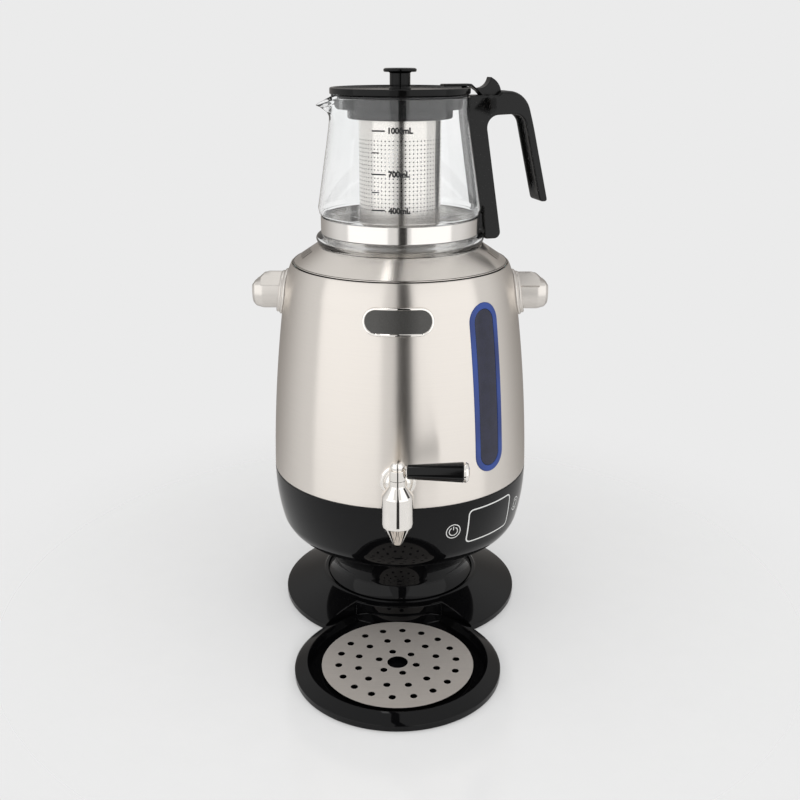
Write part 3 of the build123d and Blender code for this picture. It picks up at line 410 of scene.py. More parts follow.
def piece(name, body, finish, node, *parts, wall=None, inside=None, crease=35, turn=0.0):
    """Puts points and faces into one mesh, in metres, turned about the upright axis. The wall, if any, is a
    Solidify thickness in mm; its inner side and the edges of its holes can have a finish of their own. The
    node is the solid that the piece stands for; a print or a trim has none."""
    starts = np.cumsum([0] + [len(points) for points, _ in parts])
    faces = [[start + k for k in face] for start, (_, part) in zip(starts.tolist(), parts)
             for face in (part.tolist() if isinstance(part, np.ndarray) else part)]
    c, s = math.cos(turn), math.sin(turn)
    points = np.concatenate([points for points, _ in parts]) @ [[c, s, 0], [-s, c, 0], [0, 0, 1]] * MM
    mesh = bpy.data.meshes.new(name)
    mesh.from_pydata(points.tolist(), [], faces)
    work = bmesh.new()
    work.from_mesh(mesh)
    bmesh.ops.remove_doubles(work, verts=work.verts, dist=2e-6)
    bmesh.ops.dissolve_degenerate(work, edges=work.edges, dist=1e-6)
    bmesh.ops.recalc_face_normals(work, faces=work.faces)
    work.to_mesh(mesh)
    work.free()
    for each in (finish, inside):
        if each:
            mesh.materials.append(finishes[each])
    made = put(name, mesh)
    if wall:
        thickness = made.modifiers.new("wall", "SOLIDIFY")
        thickness.thickness, thickness.offset = wall * MM, -1.0
        thickness.material_offset = thickness.material_offset_rim = 1 if inside else 0
        made.data = bpy.data.meshes.new_from_object(made.evaluated_get(bpy.context.evaluated_depsgraph_get()))
        made.modifiers.remove(thickness)
        bpy.data.meshes.remove(mesh)
        mesh = made.data
        mesh.name = name
    mesh.shade_smooth()
    mesh.set_sharp_from_angle(angle=math.radians(crease))
    made.modifiers.new("even_normals", "WEIGHTED_NORMAL").keep_sharp = True
    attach(made, body)
    if node:
        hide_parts(node)
    print(f"{name}: {len(mesh.polygons)} faces")


# %% [markdown]
# ## Foot disc
# The foot is a shallow cone with a bite in front for the drip tray. The bite needs no cutting: the disc is
# a fan of outlines, one for each direction, and each outline simply ends where it meets the bite. That
# end is the distance R(a), so the whole disc is still one grid.

# %% Foot disc and neck
BASE_LOW, BASE_EDGE, BASE_WALL, LIP_R, LIP_Z, DECK_Z, TRAY_BACK_R = 1.2, 6.5, 2.5, 66.4, 20.4, 17.0, 72.5


def ray_to_circle(angle, centre_y, radius):
    """Distance from the axis to the near side of a circle centred on the y axis, looking along each angle."""
    along = centre_y * np.sin(angle)
    inside = radius ** 2 - (centre_y * np.cos(angle)) ** 2
    return np.where((inside > 0) & (along > 0), along - np.sqrt(np.maximum(inside, 0)), np.inf)


def fan(angle, rows, centre_y=0.0):
    """Rows of radius and height, each one value or one for every angle: x = r cos a, y = r sin a + centre."""
    r, z = (np.stack([np.broadcast_to(k, angle.shape) for k in values]) for values in zip(*rows))
    return xyz(r * np.cos(angle), centre_y + r * np.sin(angle), z)


def foot_disc():
    """Radius = share of the way from the lip to R(a); height = the cone's line at that radius."""
    by_corner = np.linspace(-36.9, -30, 60)
    a = np.radians(np.unique(np.concatenate([np.arange(0, 360, 1.5), by_corner % 360, -by_corner])) - 90)
    reach = np.clip(ray_to_circle(a, TRAY_Y, TRAY_R + 0.5), TRAY_BACK_R - 0.5, BASE_R)
    cone = (0, LIP_R + 1.0, BASE_R - 1.0, BASE_R + 1), (LIP_Z - 1, LIP_Z - 1, BASE_EDGE, BASE_EDGE - 0.4)
    start, top, inner = LIP_R + 1.2, np.interp(reach, *cone), reach - BASE_WALL
    rows = rounded([(12, DECK_Z, 0), (LIP_R - 2.8, DECK_Z, 0.2), (LIP_R - 2.3, LIP_Z - 0.2, 0.8),
                    (LIP_R, LIP_Z + 0.2, 1.0), (start, LIP_Z - 1.05, 0)]).tolist()
    for share in np.linspace(0.04, 0.98, 10):
        r = start + share * (reach - 0.8 - start)
        rows.append((r, np.interp(r, *cone)))
    rows += [(reach - inward, top - down) for inward, down in ((0.8, 0), (0.35, 0.15), (0.1, 0.4), (0, 0.8))]
    rows += [(reach, 2.0), (reach - 0.15, 1.5), (reach - 0.6, BASE_LOW), (inner, BASE_LOW),
             (inner, np.interp(inner, (LIP_R, BASE_R - BASE_WALL), (14.2, 4.2))), (LIP_R, 14.4), (12, 14.4)]
    return fan(a, rows), squares(len(rows), len(a), closed_rows=True)


piece("foot_disc", "root", "black_gloss", "base_disc", foot_disc())

NECK_R, NECK_WAIST, NECK_TOP_R, BOWL_Z = 63.2, (57.8, 33.5), 61.0, 51.5
neck_line = distinct(np.concatenate([
    [(44, DECK_Z + 0.05), (NECK_R, DECK_Z + 0.05)], arc((NECK_R, 20.0), (59.4, 25.5), NECK_WAIST, 24),
    arc(NECK_WAIST, (58.2, 43.0), (NECK_TOP_R, BOWL_Z), 24)[1:], [(44, BOWL_Z)]]))
piece("neck", "root", "black_gloss", "neck_ring", spun(neck_line, 160, closed=True))

# %% [markdown]
# ## Surfaces of the body
# Bowl and barrel are spun sheets with openings in them: the level window, the inlet at the back. A sheet
# point is (azimuth, distance along the outline). To cut an opening, the border of a block of cells is
# pulled straight towards the opening's core, until it is one corner radius away. A core that is a point
# gives a round hole, a line gives a slot, and a rectangle gives a rounded window.


# %% Sheets that follow an outline
class Lathe:
    """An outline that can be read by distance along it or, where it is steep, by height."""

    def __init__(self, line):
        self.r, self.z = line[:, 0], line[:, 1]
        self.s = np.concatenate([[0], np.cumsum(np.hypot(np.diff(self.r), np.diff(self.z)))])

    def at(self, s):
        """Radius and height at a distance along the outline."""
        return np.interp(s, self.s, self.r), np.interp(s, self.s, self.z)

    def s_of(self, z, low, high):
        """Distance along the outline at a height, between two distances where the height only grows."""
        part = (self.s >= low) & (self.s <= high)
        return np.interp(z, self.z[part], self.s[part])

    def sheet(self, u, s, openings, rings=3):
        """An opened sheet over azimuth and distance along the outline."""
        us, faces = opened_sheet(u, s, openings, rings)
        r, z = self.at(us[:, 1])
        return facing(r, us[:, 0], z), faces


def facing(r, u, z):
    """x = r sin u, y = -r cos u: the azimuth u is counted from the front towards the right."""
    return xyz(r * np.sin(u), -r * np.cos(u), z)


def pulled(lathe, azimuth, height, core, radius, span):
    """Pulls (azimuth, distance) points to an opening: a = r sin(u - azimuth) across and b upwards."""
    def pull(us):
        r, z = lathe.at(us[..., 1])
        a, b = r * np.sin(us[..., 0] - azimuth), z - height
        qa, qb = np.clip(a, -core[0], core[0]), np.clip(b, -core[1], core[1])
        far = np.hypot(a - qa, b - qb)
        a, b = qa + radius * (a - qa) / far, qb + radius * (b - qb) / far
        s = lathe.s_of(b + height, *span)
        return np.stack([azimuth + np.arcsin(a / lathe.at(s)[0]), s], -1)
    return pull


def cells_around(lines, low, high):
    """First cell and number of cells that cover a range of a sorted array of grid lines."""
    first = int(np.searchsorted(lines, low)) - 1
    return first, int(np.searchsorted(lines, high)) - first


def block(u, s, azimuth, reach, ends, pull):
    """The cells that an opening takes up, by its reach to both sides and its ends along the outline."""
    first_u, wide = cells_around(u, azimuth - reach, azimuth + reach)
    first_s, tall = cells_around(s, *ends)
    return first_u, first_s, wide, tall, pull


TURN = np.radians(np.arange(-180, 180.01, 1.5))
print("grid lines around a sheet:", len(TURN))

# %% Black bowl
BOWL_BELLY = (64.0, BOWL_Z), (77.0, 57.4), (89.0, 64.4)
BOWL_TURN = (89.0, 64.4), (96.6, 70.6), (101.4, 79.0)
BOWL_SIDE = (101.4, 79.0), (105.3, 98.0), (107.0, SEAM_Z)
INLET_Z = 92.0
bowl = Lathe(distinct(np.concatenate([
    [(44, BOWL_Z)], arc(*BOWL_BELLY, 60), arc(*BOWL_TURN, 60), arc(*BOWL_SIDE, 120)[:-1],
    rounded([(106.95, SEAM_Z - 1.0, 0), (106.98, SEAM_Z, 0.5), (104.0, SEAM_Z, 0)])])))
bowl_top = bowl.s[-1] - 4.5
bowl_u = TURN + np.pi / 2          # the seam of this sheet lies at the side, away from the inlet
bowl_s = np.unique(np.concatenate([[0, 12], np.linspace(20, bowl_top, 60), bowl.s[-12:]]))
recess = block(bowl_u, bowl_s, np.pi, 0.19, [bowl.s_of(INLET_Z + k, 40, bowl_top) for k in (-15, 15)],
               pulled(bowl, np.pi, INLET_Z, (14.8, 11.3), 1.0, (40, bowl_top)))
piece("bowl", "root", "black_gloss", "lower_bowl", bowl.sheet(bowl_u, bowl_s, [recess]), wall=2.4)

# %% [markdown]
# ## Steel barrel
# The barrel is one long arc with a tighter shoulder above it. Its top edge turns in and down to the flange
# that carries the cover. The level window is a slot with round ends, so its core is an upright line.

# %% Steel barrel
BARREL = ((107.0, SEAM_Z), (103.1, 197.5), (94.5, 272.0))
SHOULDER = ((94.5, 272.0), (92.1, 285.2), (88.2, 295.8))
BRIM_Z, BRIM_R = 292.4, 81.0
WINDOW_W, WINDOW_H, WINDOW_Z, WINDOW_AZ = 29.2, 133.2, 211.3, math.radians(42.6)
edge = rounded([(*SHOULDER[2], 0), (87.75, 296.2, 0.2), (87.2, 296.1, 0.15), (87.2, BRIM_Z, 0.4),
                (BRIM_R, BRIM_Z, 0)])
foot = [(106.3, SEAM_Z + 0.6), (106.75, SEAM_Z + 0.65), (106.95, SEAM_Z + 0.95)]
barrel = Lathe(distinct(np.concatenate([foot, arc(*BARREL, 300)[6:], arc(*SHOULDER, 80)[1:], edge])))
wall_top = float(barrel.s[np.argmax(barrel.z)]) - 1.0
# The foot and the turned-in edge keep their own points; the wall between them gets a hundred rows.
barrel_s = np.unique(np.concatenate([barrel.s[:3], np.linspace(barrel.s[3], wall_top, 100), barrel.s[-22:]]))
window_ends = [barrel.s_of(WINDOW_Z + k * (WINDOW_H / 2 + 4), 1, wall_top) for k in (-1, 1)]
window_core = 0, (WINDOW_H - WINDOW_W) / 2
slot = block(TURN, barrel_s, WINDOW_AZ, 0.17, window_ends,
             pulled(barrel, WINDOW_AZ, WINDOW_Z, window_core, WINDOW_W / 2 + 0.2, (1, wall_top)))
piece("barrel", "root", "brushed_barrel", "outer_shell", barrel.sheet(TURN, barrel_s, [slot], 4), wall=0.8)


# %% [markdown]
# ## Trim that follows the barrel
# The lit frame of the window, its lens and the badge are bent to the barrel. They are drawn on a flat
# plan: a stadium is a line with a distance around it. Then every point is laid on the barrel at its own
# height above the steel.

# %% A plan laid on the barrel
def barrel_r(z):
    """The barrel's radius at heights below its turned-in edge."""
    return np.interp(z, barrel.z[:-20], barrel.r[:-20])


def on_barrel(a, b, h, azimuth):
    """A plan point, a mm across and at height b, laid h mm above the barrel."""
    r = barrel_r(b) + h
    return facing(r, azimuth + np.arcsin(a / r), b)


def stadium(width, height):
    """Points of the core line and outward directions, once around a stadium, with its long side upright
    where the height is larger: core + distance * direction is the outline at that distance."""
    half, count = abs(height - width) / 2, 24
    t = np.linspace(0, np.pi, count + 1)
    run = np.linspace(1, -1, count + 1)[1:-1] * half
    up = np.concatenate([np.full(count + 1, half), run, np.full(count + 1, -half), -run])
    lean = np.concatenate([t, np.full(count - 1, np.pi), t + np.pi, np.zeros(count - 1)])
    core, out = np.stack([0 * up, up], -1), np.stack([np.cos(lean), np.sin(lean)], -1)
    return (core, out) if height > width else (core[:, ::-1] * [1, -1], np.stack([out[:, 1], -out[:, 0]], -1))


def along_stadium(width, height, z, azimuth, profile, closed=True):
    """A profile of (distance from the core line, height above the steel) carried around a stadium."""
    core, out = stadium(width, height)
    a, b = (core[:, k] + profile[:, 0, None] * out[:, k] for k in (0, 1))
    points = on_barrel(a, b + z, profile[:, 1, None], azimuth)
    return points, squares(len(profile), len(core), closed_rows=closed)


print("points along a stadium:", len(stadium(WINDOW_W, WINDOW_H)[0]))

# %% Window and badge
half = WINDOW_W / 2
guide = rounded([(half - 4.7, -2.8, 0.2), (half, -2.8, 0.2), (half, 0.55, 0.5), (half - 4.7, 0.35, 0.4)],
                closed=True)
lens = rounded([(0, 0.2, 0), (half - 4.9, 0.1, 0.3), (half - 4.9, -2.8, 0.2), (0, -2.8, 0)])
window = WINDOW_W, WINDOW_H, WINDOW_Z, WINDOW_AZ
piece("window_light", "root", "blue_light_guide", "window_ring", along_stadium(*window, guide))
piece("window_pane", "root", "navy_lens", "window_lens", along_stadium(*window, lens, closed=False))

badge = 54.0, 21.5, 269.0, 0.0          # width, height, middle, azimuth
half = badge[1] / 2
rim = rounded([(half - 2.3, 0.05, 0), (half, 0.05, 0.1), (half - 0.2, 1.5, 0.8), (half - 1.6, 1.9, 0.5),
               (half - 2.2, 1.1, 0.1)], closed=True)
face = rounded([(0, 1.2, 0), (half - 2.0, 1.1, 0.1), (half - 1.9, 0.1, 0.1), (0, 0.1, 0)])
piece("badge_frame", "root", "chrome", "badge_rim", along_stadium(*badge, rim))
piece("badge_field", "root", "badge_face", "badge_plate", along_stadium(*badge, face, closed=False))

# %% [markdown]
# ## Cover
# The cover is a cone with a recess for the teapot and five narrow vents on each side. The vents are slots
# whose core runs up the cone. Its edge is folded in and stands just clear of the barrel. The skirt that
# centres it, the cover's underside and the vents' walls get a darker steel, painted shade, so the gap
# is a fine dark line between cover and barrel.

# %% Lift-off cover
COVER_R, COVER_TOP, SEAT_R, SEAT_Z = 86.5, 310.4, 65.4, 308.0
cover = Lathe(rounded([
    (COVER_R - 1.6, 296.8, 0), (COVER_R - 0.05, 296.8, 0.2), (COVER_R - 0.05, 297.3, 0.3),
    (COVER_R - 1.0, 297.8, 0.5), (67.0, COVER_TOP - 0.2, 1.6), (65.8, COVER_TOP + 0.05, 0.4),
    (SEAT_R, COVER_TOP - 0.7, 0.4), (SEAT_R, SEAT_Z, 0.6), (34.2, SEAT_Z, 0.8), (34.0, 304.0, 0)]))
cone_low, vent_s, cone_high = (float(np.interp(-r, -cover.r, cover.s)) for r in (84.0, 76.0, 68.5))
VENT_LONG, VENT_WIDE, COVER_CELL = 10.0, 1.8, 0.75      # the cells are this many degrees wide
cover_u = np.arange(-240, 241) * math.radians(COVER_CELL)
cover_s = np.unique(np.concatenate([cover.s[cover.s < cone_low], np.linspace(cone_low, cone_high, 15),
                                    cover.s[cover.s > cone_high], [cover.s[-1]]]))
vent_at = (np.array([[-84], [84]]) + np.arange(-2, 3) * 4.5).ravel()


def vent_pull(us):
    """Pulls the border of each block to its own vent, whose core line runs up the cone."""
    azimuth = np.radians(vent_at)[:, None]
    r = cover.at(us[..., 1])[0]
    a, b = r * (us[..., 0] - azimuth), us[..., 1] - vent_s
    core = (VENT_LONG - VENT_WIDE) / 2
    qb = np.clip(b, -core, core)
    far = np.hypot(a, b - qb)
    a, b = VENT_WIDE / 2 * a / far, qb + VENT_WIDE / 2 * (b - qb) / far
    s = b + vent_s
    return np.stack([azimuth + a / cover.at(s)[0], s], -1)


vent_first = np.round(vent_at / COVER_CELL - 2).astype(int) + 240
first_s, tall = cells_around(cover_s, vent_s - 5.6, vent_s + 5.6)
vents = vent_first, first_s, 4, tall, vent_pull          # each vent opens four cells around
# The cover's underside and the walls of its vents get steel_in_shade, painted shade.
piece("cover", "top_cover", "brushed_cover", "top_cover", cover.sheet(cover_u, cover_s, [vents]), wall=0.9,
      inside="steel_in_shade")
# The skirt is a sheet of steel_in_shade: painted shade that darkens the gap under the folded edge.
skirt = rounded([(84.1, 294.2, 0.1), (85.0, 294.2, 0.1), (85.0, 297.2, 0.1), (84.1, 297.2, 0.1)], closed=True)
piece("cover_skirt", "top_cover", "steel_in_shade", None, spun(skirt, closed=True))

# %% [markdown]
# ## Stub handles
# Each stub handle is a bar with a flat thumb face on top and a slanted cut at its end. Seen from its own
# axis it is a star shape: in every direction the surface lies at the nearest of three limits, the round
# bar, the thumb face and the end cut. A high power mean takes the least of the three and softens the
# crease between them a little.

# %% Stub handles
LUG_Z, LUG_R, LUG_END, COLLAR_Z = 272.0, 15.0, 120.0, 270.6
FACE_LEAN, FACE_AT = math.radians(32), 12.62
CUT_LEAN, CUT_AT = math.radians(40), 81.4


def lug(side):
    """1 / r^p is the sum of the three limits' own 1 / r^p, with p = 60; directions run around the bar."""
    bar = rounded([(88, LUG_R, 0), (LUG_END - 8, LUG_R, 8), (LUG_END - 2.2, LUG_R - 1.7, 2.0),
                   (LUG_END, LUG_R - 4.4, 1.2), (LUG_END, 4, 0)], steps=6)
    shank = [(x, LUG_R) for x in np.linspace(88, 107, 20)]
    bar = np.concatenate([shank, bar[1:], [(LUG_END, 1.0), (LUG_END, 0.01)]])
    x, limit = bar[:, 0, None], bar[:, 1, None]
    slit = math.pi / 2 + FACE_LEAN + math.acos(FACE_AT / LUG_R) + 0.03
    by_slit = slit + np.array([-0.06, -0.04, -0.03, -0.02, 0.02, 0.03, 0.04, 0.06])
    a = np.unique(np.concatenate([around(160), by_slit]))
    y, z = np.cos(a), np.sin(a)
    toward_thumb = -y * math.sin(FACE_LEAN) + z * math.cos(FACE_LEAN)
    with np.errstate(divide="ignore", invalid="ignore"):
        thumb = np.where(toward_thumb > 0.05, FACE_AT / np.maximum(toward_thumb, 0.05), 1e3)
        slope = (CUT_AT - math.sin(CUT_LEAN) * x) / (math.cos(CUT_LEAN) * np.maximum(z, 0.05))
        cut = np.where(z > 0.05, slope, 1e3)
    power = 60
    reach = (limit ** -power + thumb ** -power + np.maximum(cut, 0.01) ** -power) ** (-1 / power)
    if side > 0:        # only the right one has a groove below its thumb face
        deep = np.clip((0.035 - np.abs(a - slit)) / 0.015, 0, 1) * np.clip((x - 97) / 0.6, 0, 1)
        reach = reach - deep * np.clip((112.5 - x) / 0.6, 0, 1) * (limit > 14.5)
    return xyz(side * x, reach * y, LUG_Z + reach * z), squares(len(bar), a.size)


print("stub handles end", LUG_END, "mm from the axis")


# %% Their collars
def collar(side):
    """A round flange that follows the barrel: x = sqrt((r(z) + h)^2 - y^2) at a circle's y and z."""
    line = rounded([(14.6, 0.1, 0), (18.5, 0.1, 0.3), (18.6, 1.5, 1.0), (17.3, 2.3, 0.5), (16.9, 2.5, 0.3),
                    (17.0, 4.0, 0.8), (15.9, 4.9, 0.6), (14.8, 4.6, 0)], steps=4)
    radius, a = line[:, 0, None], around(120)
    y, z = radius * np.cos(a), COLLAR_Z + radius * np.sin(a)
    r = barrel_r(z) + line[:, 1, None]
    return xyz(side * np.sqrt(r * r - y * y), y, z), squares(len(line), a.size, closed_rows=True)


for name, side in (("left", -1), ("right", 1)):
    piece(f"{name}_stub_handle", "root", "satin_metal", f"{name}_lug", lug(side))
    piece(f"{name}_collar", "root", "satin_metal", f"{name}_lug_collar", collar(side))

# %% [markdown]
# ## Tap
# The tap's metal parts are turned brass with a chrome skin, and the lever's grip is black plastic. All are
# round, so they are spun: the rosette about the line that points at the viewer, the bell and the key about
# the upright axis, the lever about its own length.

# %% Tap
TAP_Z, LEVER_Z, PLUG_R = 147.0, 166.4, 4.3
rosette = rounded([(5.6, 98.0, 0), (14.0, 98.0, 0.1), (14.0, 107.6, 0.9), (12.6, 109.0, 0.5),
                   (11.0, 109.2, 0.4), (10.6, 108.8, 0.3), (9.2, 110.8, 0.9), (7.2, 111.6, 0.5),
                   (5.6, 111.6, 0)], steps=4)
piece("tap_rosette_skin", "root", "chrome", "tap_rosette",
      spun(rosette, 96, centre=(0, 0, TAP_Z), axis="y", closed=True))

bell = rounded([(3.0, 108.5, 0), (3.75, 108.4, 0.3), (4.3, 109.2, 0.4), (11.6, 123.8, 2.5),
                (11.9, 126.0, 2.0), (11.8, 147.4, 0.2), (11.2, 148.6, 0.2), (6.3, 155.2, 0.6),
                (6.15, 156.4, 0.6), (6.15, 160.2, 0.2), (PLUG_R + 0.1, 160.2, 0), (PLUG_R + 0.1, 136.0, 0),
                (3.0, 136.0, 0)], closed=True)
piece("tap_bell", "root", "chrome", "tap_body", spun(bell, 96, centre=(0, TAP_Y, 0), closed=True))

key = rounded([(0, 136.3, 0), (PLUG_R, 136.3, 0), (PLUG_R, 160.5, 0), (6.15, 160.5, 0.2),
               (6.15, 168.3, 0.4), (4.8, 168.5, 0.15), (4.8, 169.2, 0.15), (5.45, 169.5, 0.25),
               (5.45, 171.4, 1.8), (3.7, 174.1, 2.0), (0, 174.8, 0)])
piece("tap_turning_key", "tap_lever", "chrome", "tap_key", spun(key, 96, centre=(0, TAP_Y, 0)))

ferrule = rounded([(0, 1.6, 0), (2.2, 1.6, 0), (2.2, 6.3, 0.2), (4.2, 6.3, 0.2), (4.4, 6.9, 0.2),
                   (2.2, 6.9, 0), (2.2, 50, 0), (0, 50, 0)])
grip = rounded([(2.3, 7.0, 0), (4.7, 7.0, 0.3), (5.3, 7.7, 0.5), (7.6, 47.6, 0.5), (7.4, 48.3, 0.3),
                (2.3, 48.3, 0)])
cap = rounded([(0, 48.4, 0), (7.4, 48.4, 0.2), (7.65, 50.0, 1.0), (6.4, 52.0, 1.6), (3.0, 52.8, 2.0),
               (0, 52.9, 0)])
for name, finish, node, profile, columns in (
        ("lever_shank", "chrome", "lever_rod", ferrule, 64),
        ("lever_sleeve", "black_lever", "lever_grip", grip, 80),
        ("lever_end", "chrome", "lever_end_cap", cap, 80)):
    piece(name, "tap_lever", finish, node,
          spun(profile, columns, centre=(0, TAP_Y, LEVER_Z), axis="x", closed=profile is grip))

# %% [markdown]
# ## Glass teapot
# The pot is one closed skin: up the outside, over the rim and down the inside. The spout is pulled out of
# it the way a glassmaker does it, by moving the rim outwards and down over a narrow angle. Below the rim
# the pull fades away.

# %% Glass pot
GLASS_T, POT_LOW, RIM_Z, MOUTH_R = 2.2, 308.1, 424.0, 54.8
GLASS_WALL = np.array([(65.2, 340), (63.7, 350), (60.8, 368), (58.0, 387), (55.3, 405), (54.4, 415)])
SPOUT_OUT, SPOUT_DOWN, SPOUT_ANGLE, SPOUT_LOW = 12.2, 5.5, math.radians(15.5), 401.0


def smooth_wall():
    """A polynomial through the wall's six heights, so the wall has no kinks."""
    z = GLASS_WALL[:, 1]
    fit = np.polynomial.Polynomial.fit(z, GLASS_WALL[:, 0], 4)
    heights = np.linspace(z[0], z[-1], 40)
    return np.stack([fit(heights), heights], -1)


def pot_line(inset, low):
    """The pot's outline from the middle of its floor to the rim, moved inwards by the inset."""
    foot = np.concatenate([
        np.stack([np.linspace(0, 58, 8), np.full(8, low)], -1),
        arc((60.5, low), (64.9, 310.8 + (low - POT_LOW) * 0.6), (67.4, 315.6), 14),
        arc((67.4, 315.6), (66.2, 318.2), (63.6, 319.3), 8)[1:],
        rounded([(63.6, 319.3, 0), (62.2, 319.6, 0.3), (62.2, 333.4, 1.0), (64.4, 335.6, 1.2),
                 (65.1, 339, 0)])[1:],
        smooth_wall(), [(MOUTH_R - 0.2, 420.5)]])
    foot[:, 0] = np.where(foot[:, 0] > 40, foot[:, 0] - inset, foot[:, 0] * (1 - inset / 60))
    return foot


def pot():
    """r = outline + out * cos^2(angle / width) * rise^2.6, z = outline - down * cos^2(...) * rise^2."""
    lip = rounded([(MOUTH_R - 0.2, 421, 0), (MOUTH_R, RIM_Z, 1.0), (MOUTH_R - GLASS_T, RIM_Z, 1.0),
                   (MOUTH_R - GLASS_T - 0.2, 421, 0)])
    within = pot_line(GLASS_T, POT_LOW + 1.3 * GLASS_T)
    line = distinct(np.concatenate([pot_line(0, POT_LOW), lip, within[::-1]]))
    a, near = around(192), np.linspace(np.pi - SPOUT_ANGLE, np.pi + SPOUT_ANGLE, 31)
    a = np.unique(np.concatenate([a[np.abs(a - np.pi) > SPOUT_ANGLE], near]))
    off = np.clip(np.abs(a - np.pi) / SPOUT_ANGLE, 0, 1)
    bump = np.cos(off * np.pi / 2) ** 2
    r, z = line[:, 0, None], line[:, 1, None]
    rise = np.clip((z - SPOUT_LOW) / (RIM_Z - SPOUT_LOW), 0, 1)
    r = r + SPOUT_OUT * bump * rise ** 2.6
    return xyz(r * np.cos(a), r * np.sin(a), z - SPOUT_DOWN * bump * rise ** 2), squares(len(line), a.size)


piece("pot", "teapot", "clear_glass", "teapot_glass", pot(), crease=60, turn=POT_TURN)

band = rounded([(62.5, 320, 0.2), (63.4, 320, 0.35), (63.4, 333, 0.35), (62.5, 333, 0.2)], closed=True)
piece("pot_band", "teapot", "band_steel", "teapot_band", spun(band, 192, closed=True))

# %% [markdown]
# ## Strainer
# The basket is thin sheet steel with more than a thousand small holes in rows. One cell of the pattern is
# a block of three by three squares with a round hole in it, so the holes come from the same function as
# the level window, called once for all of them.

# %% Perforated basket
BASKET_R, BASKET_LOW, BASKET_TOP = 32.3, 327.0, 408.5
HOLES_AROUND, HOLE_ROWS, HOLE_PITCH, HOLE_LOW, HOLE_R = 65, 18, 3.1, 338.5, 0.55
basket_foot = rounded([(0, BASKET_LOW, 0), (BASKET_R, BASKET_LOW, 1.6), (BASKET_R, 332, 0)])
basket = Lathe(np.concatenate([basket_foot, [(BASKET_R, BASKET_TOP)]]))
first_s = float(np.interp(HOLE_LOW, basket.z[-2:], basket.s[-2:]))
hole_lines = first_s + np.arange(HOLE_ROWS * 3 + 1) * HOLE_PITCH / 3
basket_s = np.concatenate([np.linspace(0, basket.s[1] - 2, 8), basket.s[1:-1], hole_lines,
                           np.linspace(hole_lines[-1] + 1.5, basket.s[-1], 6)])
basket_u = np.linspace(0, 2 * np.pi, HOLES_AROUND * 3 + 1)
first_row = int(np.argmin(np.abs(basket_s - hole_lines[0])))
cell_u, cell_s = np.meshgrid(np.arange(HOLES_AROUND) * 3, first_row + np.arange(HOLE_ROWS) * 3, indexing="ij")


def hole_pull(us):
    """Each block's border is pulled to the circle about the middle of its block."""
    middle = us.mean(axis=1, keepdims=True)
    away = (us - middle) * [BASKET_R, 1.0]
    return middle + away * HOLE_R / np.linalg.norm(away, axis=-1, keepdims=True) / [BASKET_R, 1.0]


# The basket's inside and the walls of its holes get steel_in_shade, painted shade.
piece("basket", "teapot", "basket_steel", "strainer_basket",
      basket.sheet(basket_u, basket_s, [(cell_u, cell_s, 3, 3, hole_pull)], 1), wall=0.45,
      inside="steel_in_shade")
print("holes in the basket:", HOLES_AROUND * HOLE_ROWS)

# %% Its collar
FLANGE_CUT = 47.2


def collar_ring():
    """The spun collar; towards the spout its flange ends at a straight line, x = -FLANGE_CUT."""
    line = rounded([
        (53.4, 424.2, 0.3), (53.4, 425.6, 0.4), (46.6, 425.6, 0.5), (46.6, 416.6, 1.2), (39.4, 415.8, 1.0),
        (39.4, 410.2, 0.8), (31.8, 410.0, 0.3), (31.8, 408.6, 0.1), (32.4, 408.6, 0.1), (32.4, 407.9, 0.1),
        (40.2, 407.9, 1.0), (41.0, 409.0, 1.0), (41.0, 414.8, 0.6), (48.0, 415.2, 1.0), (48.7, 416.4, 0.5),
        (48.7, 424.2, 0.3)], closed=True, steps=3)
    r, a = line[:, 0, None], around(192)
    toward_spout = (np.abs(a - np.pi) < math.atan2(12, FLANGE_CUT)) & (r > FLANGE_CUT)
    r = np.where(toward_spout, np.minimum(r, FLANGE_CUT / np.abs(np.cos(a)) + 0.3), r)
    points = xyz(r * np.cos(a), r * np.sin(a), line[:, 1, None])
    return points, squares(len(line), a.size, closed_rows=True)


piece("strainer_ring", "teapot", "smoke_plastic", "strainer_collar", collar_ring(), turn=POT_TURN)

# %% [markdown]
# ## Lid
# A shallow dish with a raised rim and a mushroom knob, both spun, and an arm that ends in a thumb piece
# shaped like a leaf. The arm is a flat outline with rounded rims.

# %% Lid, knob and thumb piece
LID_R, LID_Z, LID_TOP, KNOB_TOP = 54.5, 426.0, 431.0, 445.0
lid = rounded([(0, LID_Z, 0), (41.0, LID_Z, 0.3), (41.0, 422.4, 0.4), (42.6, 422.4, 0.4), (43.0, LID_Z, 0.3),
               (LID_R, LID_Z, 1.0), (LID_R, LID_TOP, 1.1), (LID_R - 2.6, LID_TOP, 0.7),
               (LID_R - 4.0, LID_TOP - 1.1, 1.0), (LID_R - 14, LID_TOP - 1.35, 8),
               (0, LID_TOP - 1.6, 0)], steps=6)
piece("lid", "teapot_lid", "lid_black", "lid_disc", spun(lid, 192))
knob = rounded([(0, LID_TOP - 1.5, 0), (8.9, LID_TOP - 1.5, 0.3), (8.0, LID_TOP + 0.4, 1.0),
                (8.0, KNOB_TOP - 3.4, 0.8), (9.4, KNOB_TOP - 2.8, 0.6), (12.7, KNOB_TOP - 2.8, 0.9),
                (12.9, KNOB_TOP - 0.7, 0.9), (11.4, KNOB_TOP, 0.6), (9.4, KNOB_TOP - 0.55, 1.5),
                (0, KNOB_TOP - 0.6, 0)], steps=6)
piece("knob", "teapot_lid", "lid_black", "lid_knob", spun(knob, 96))

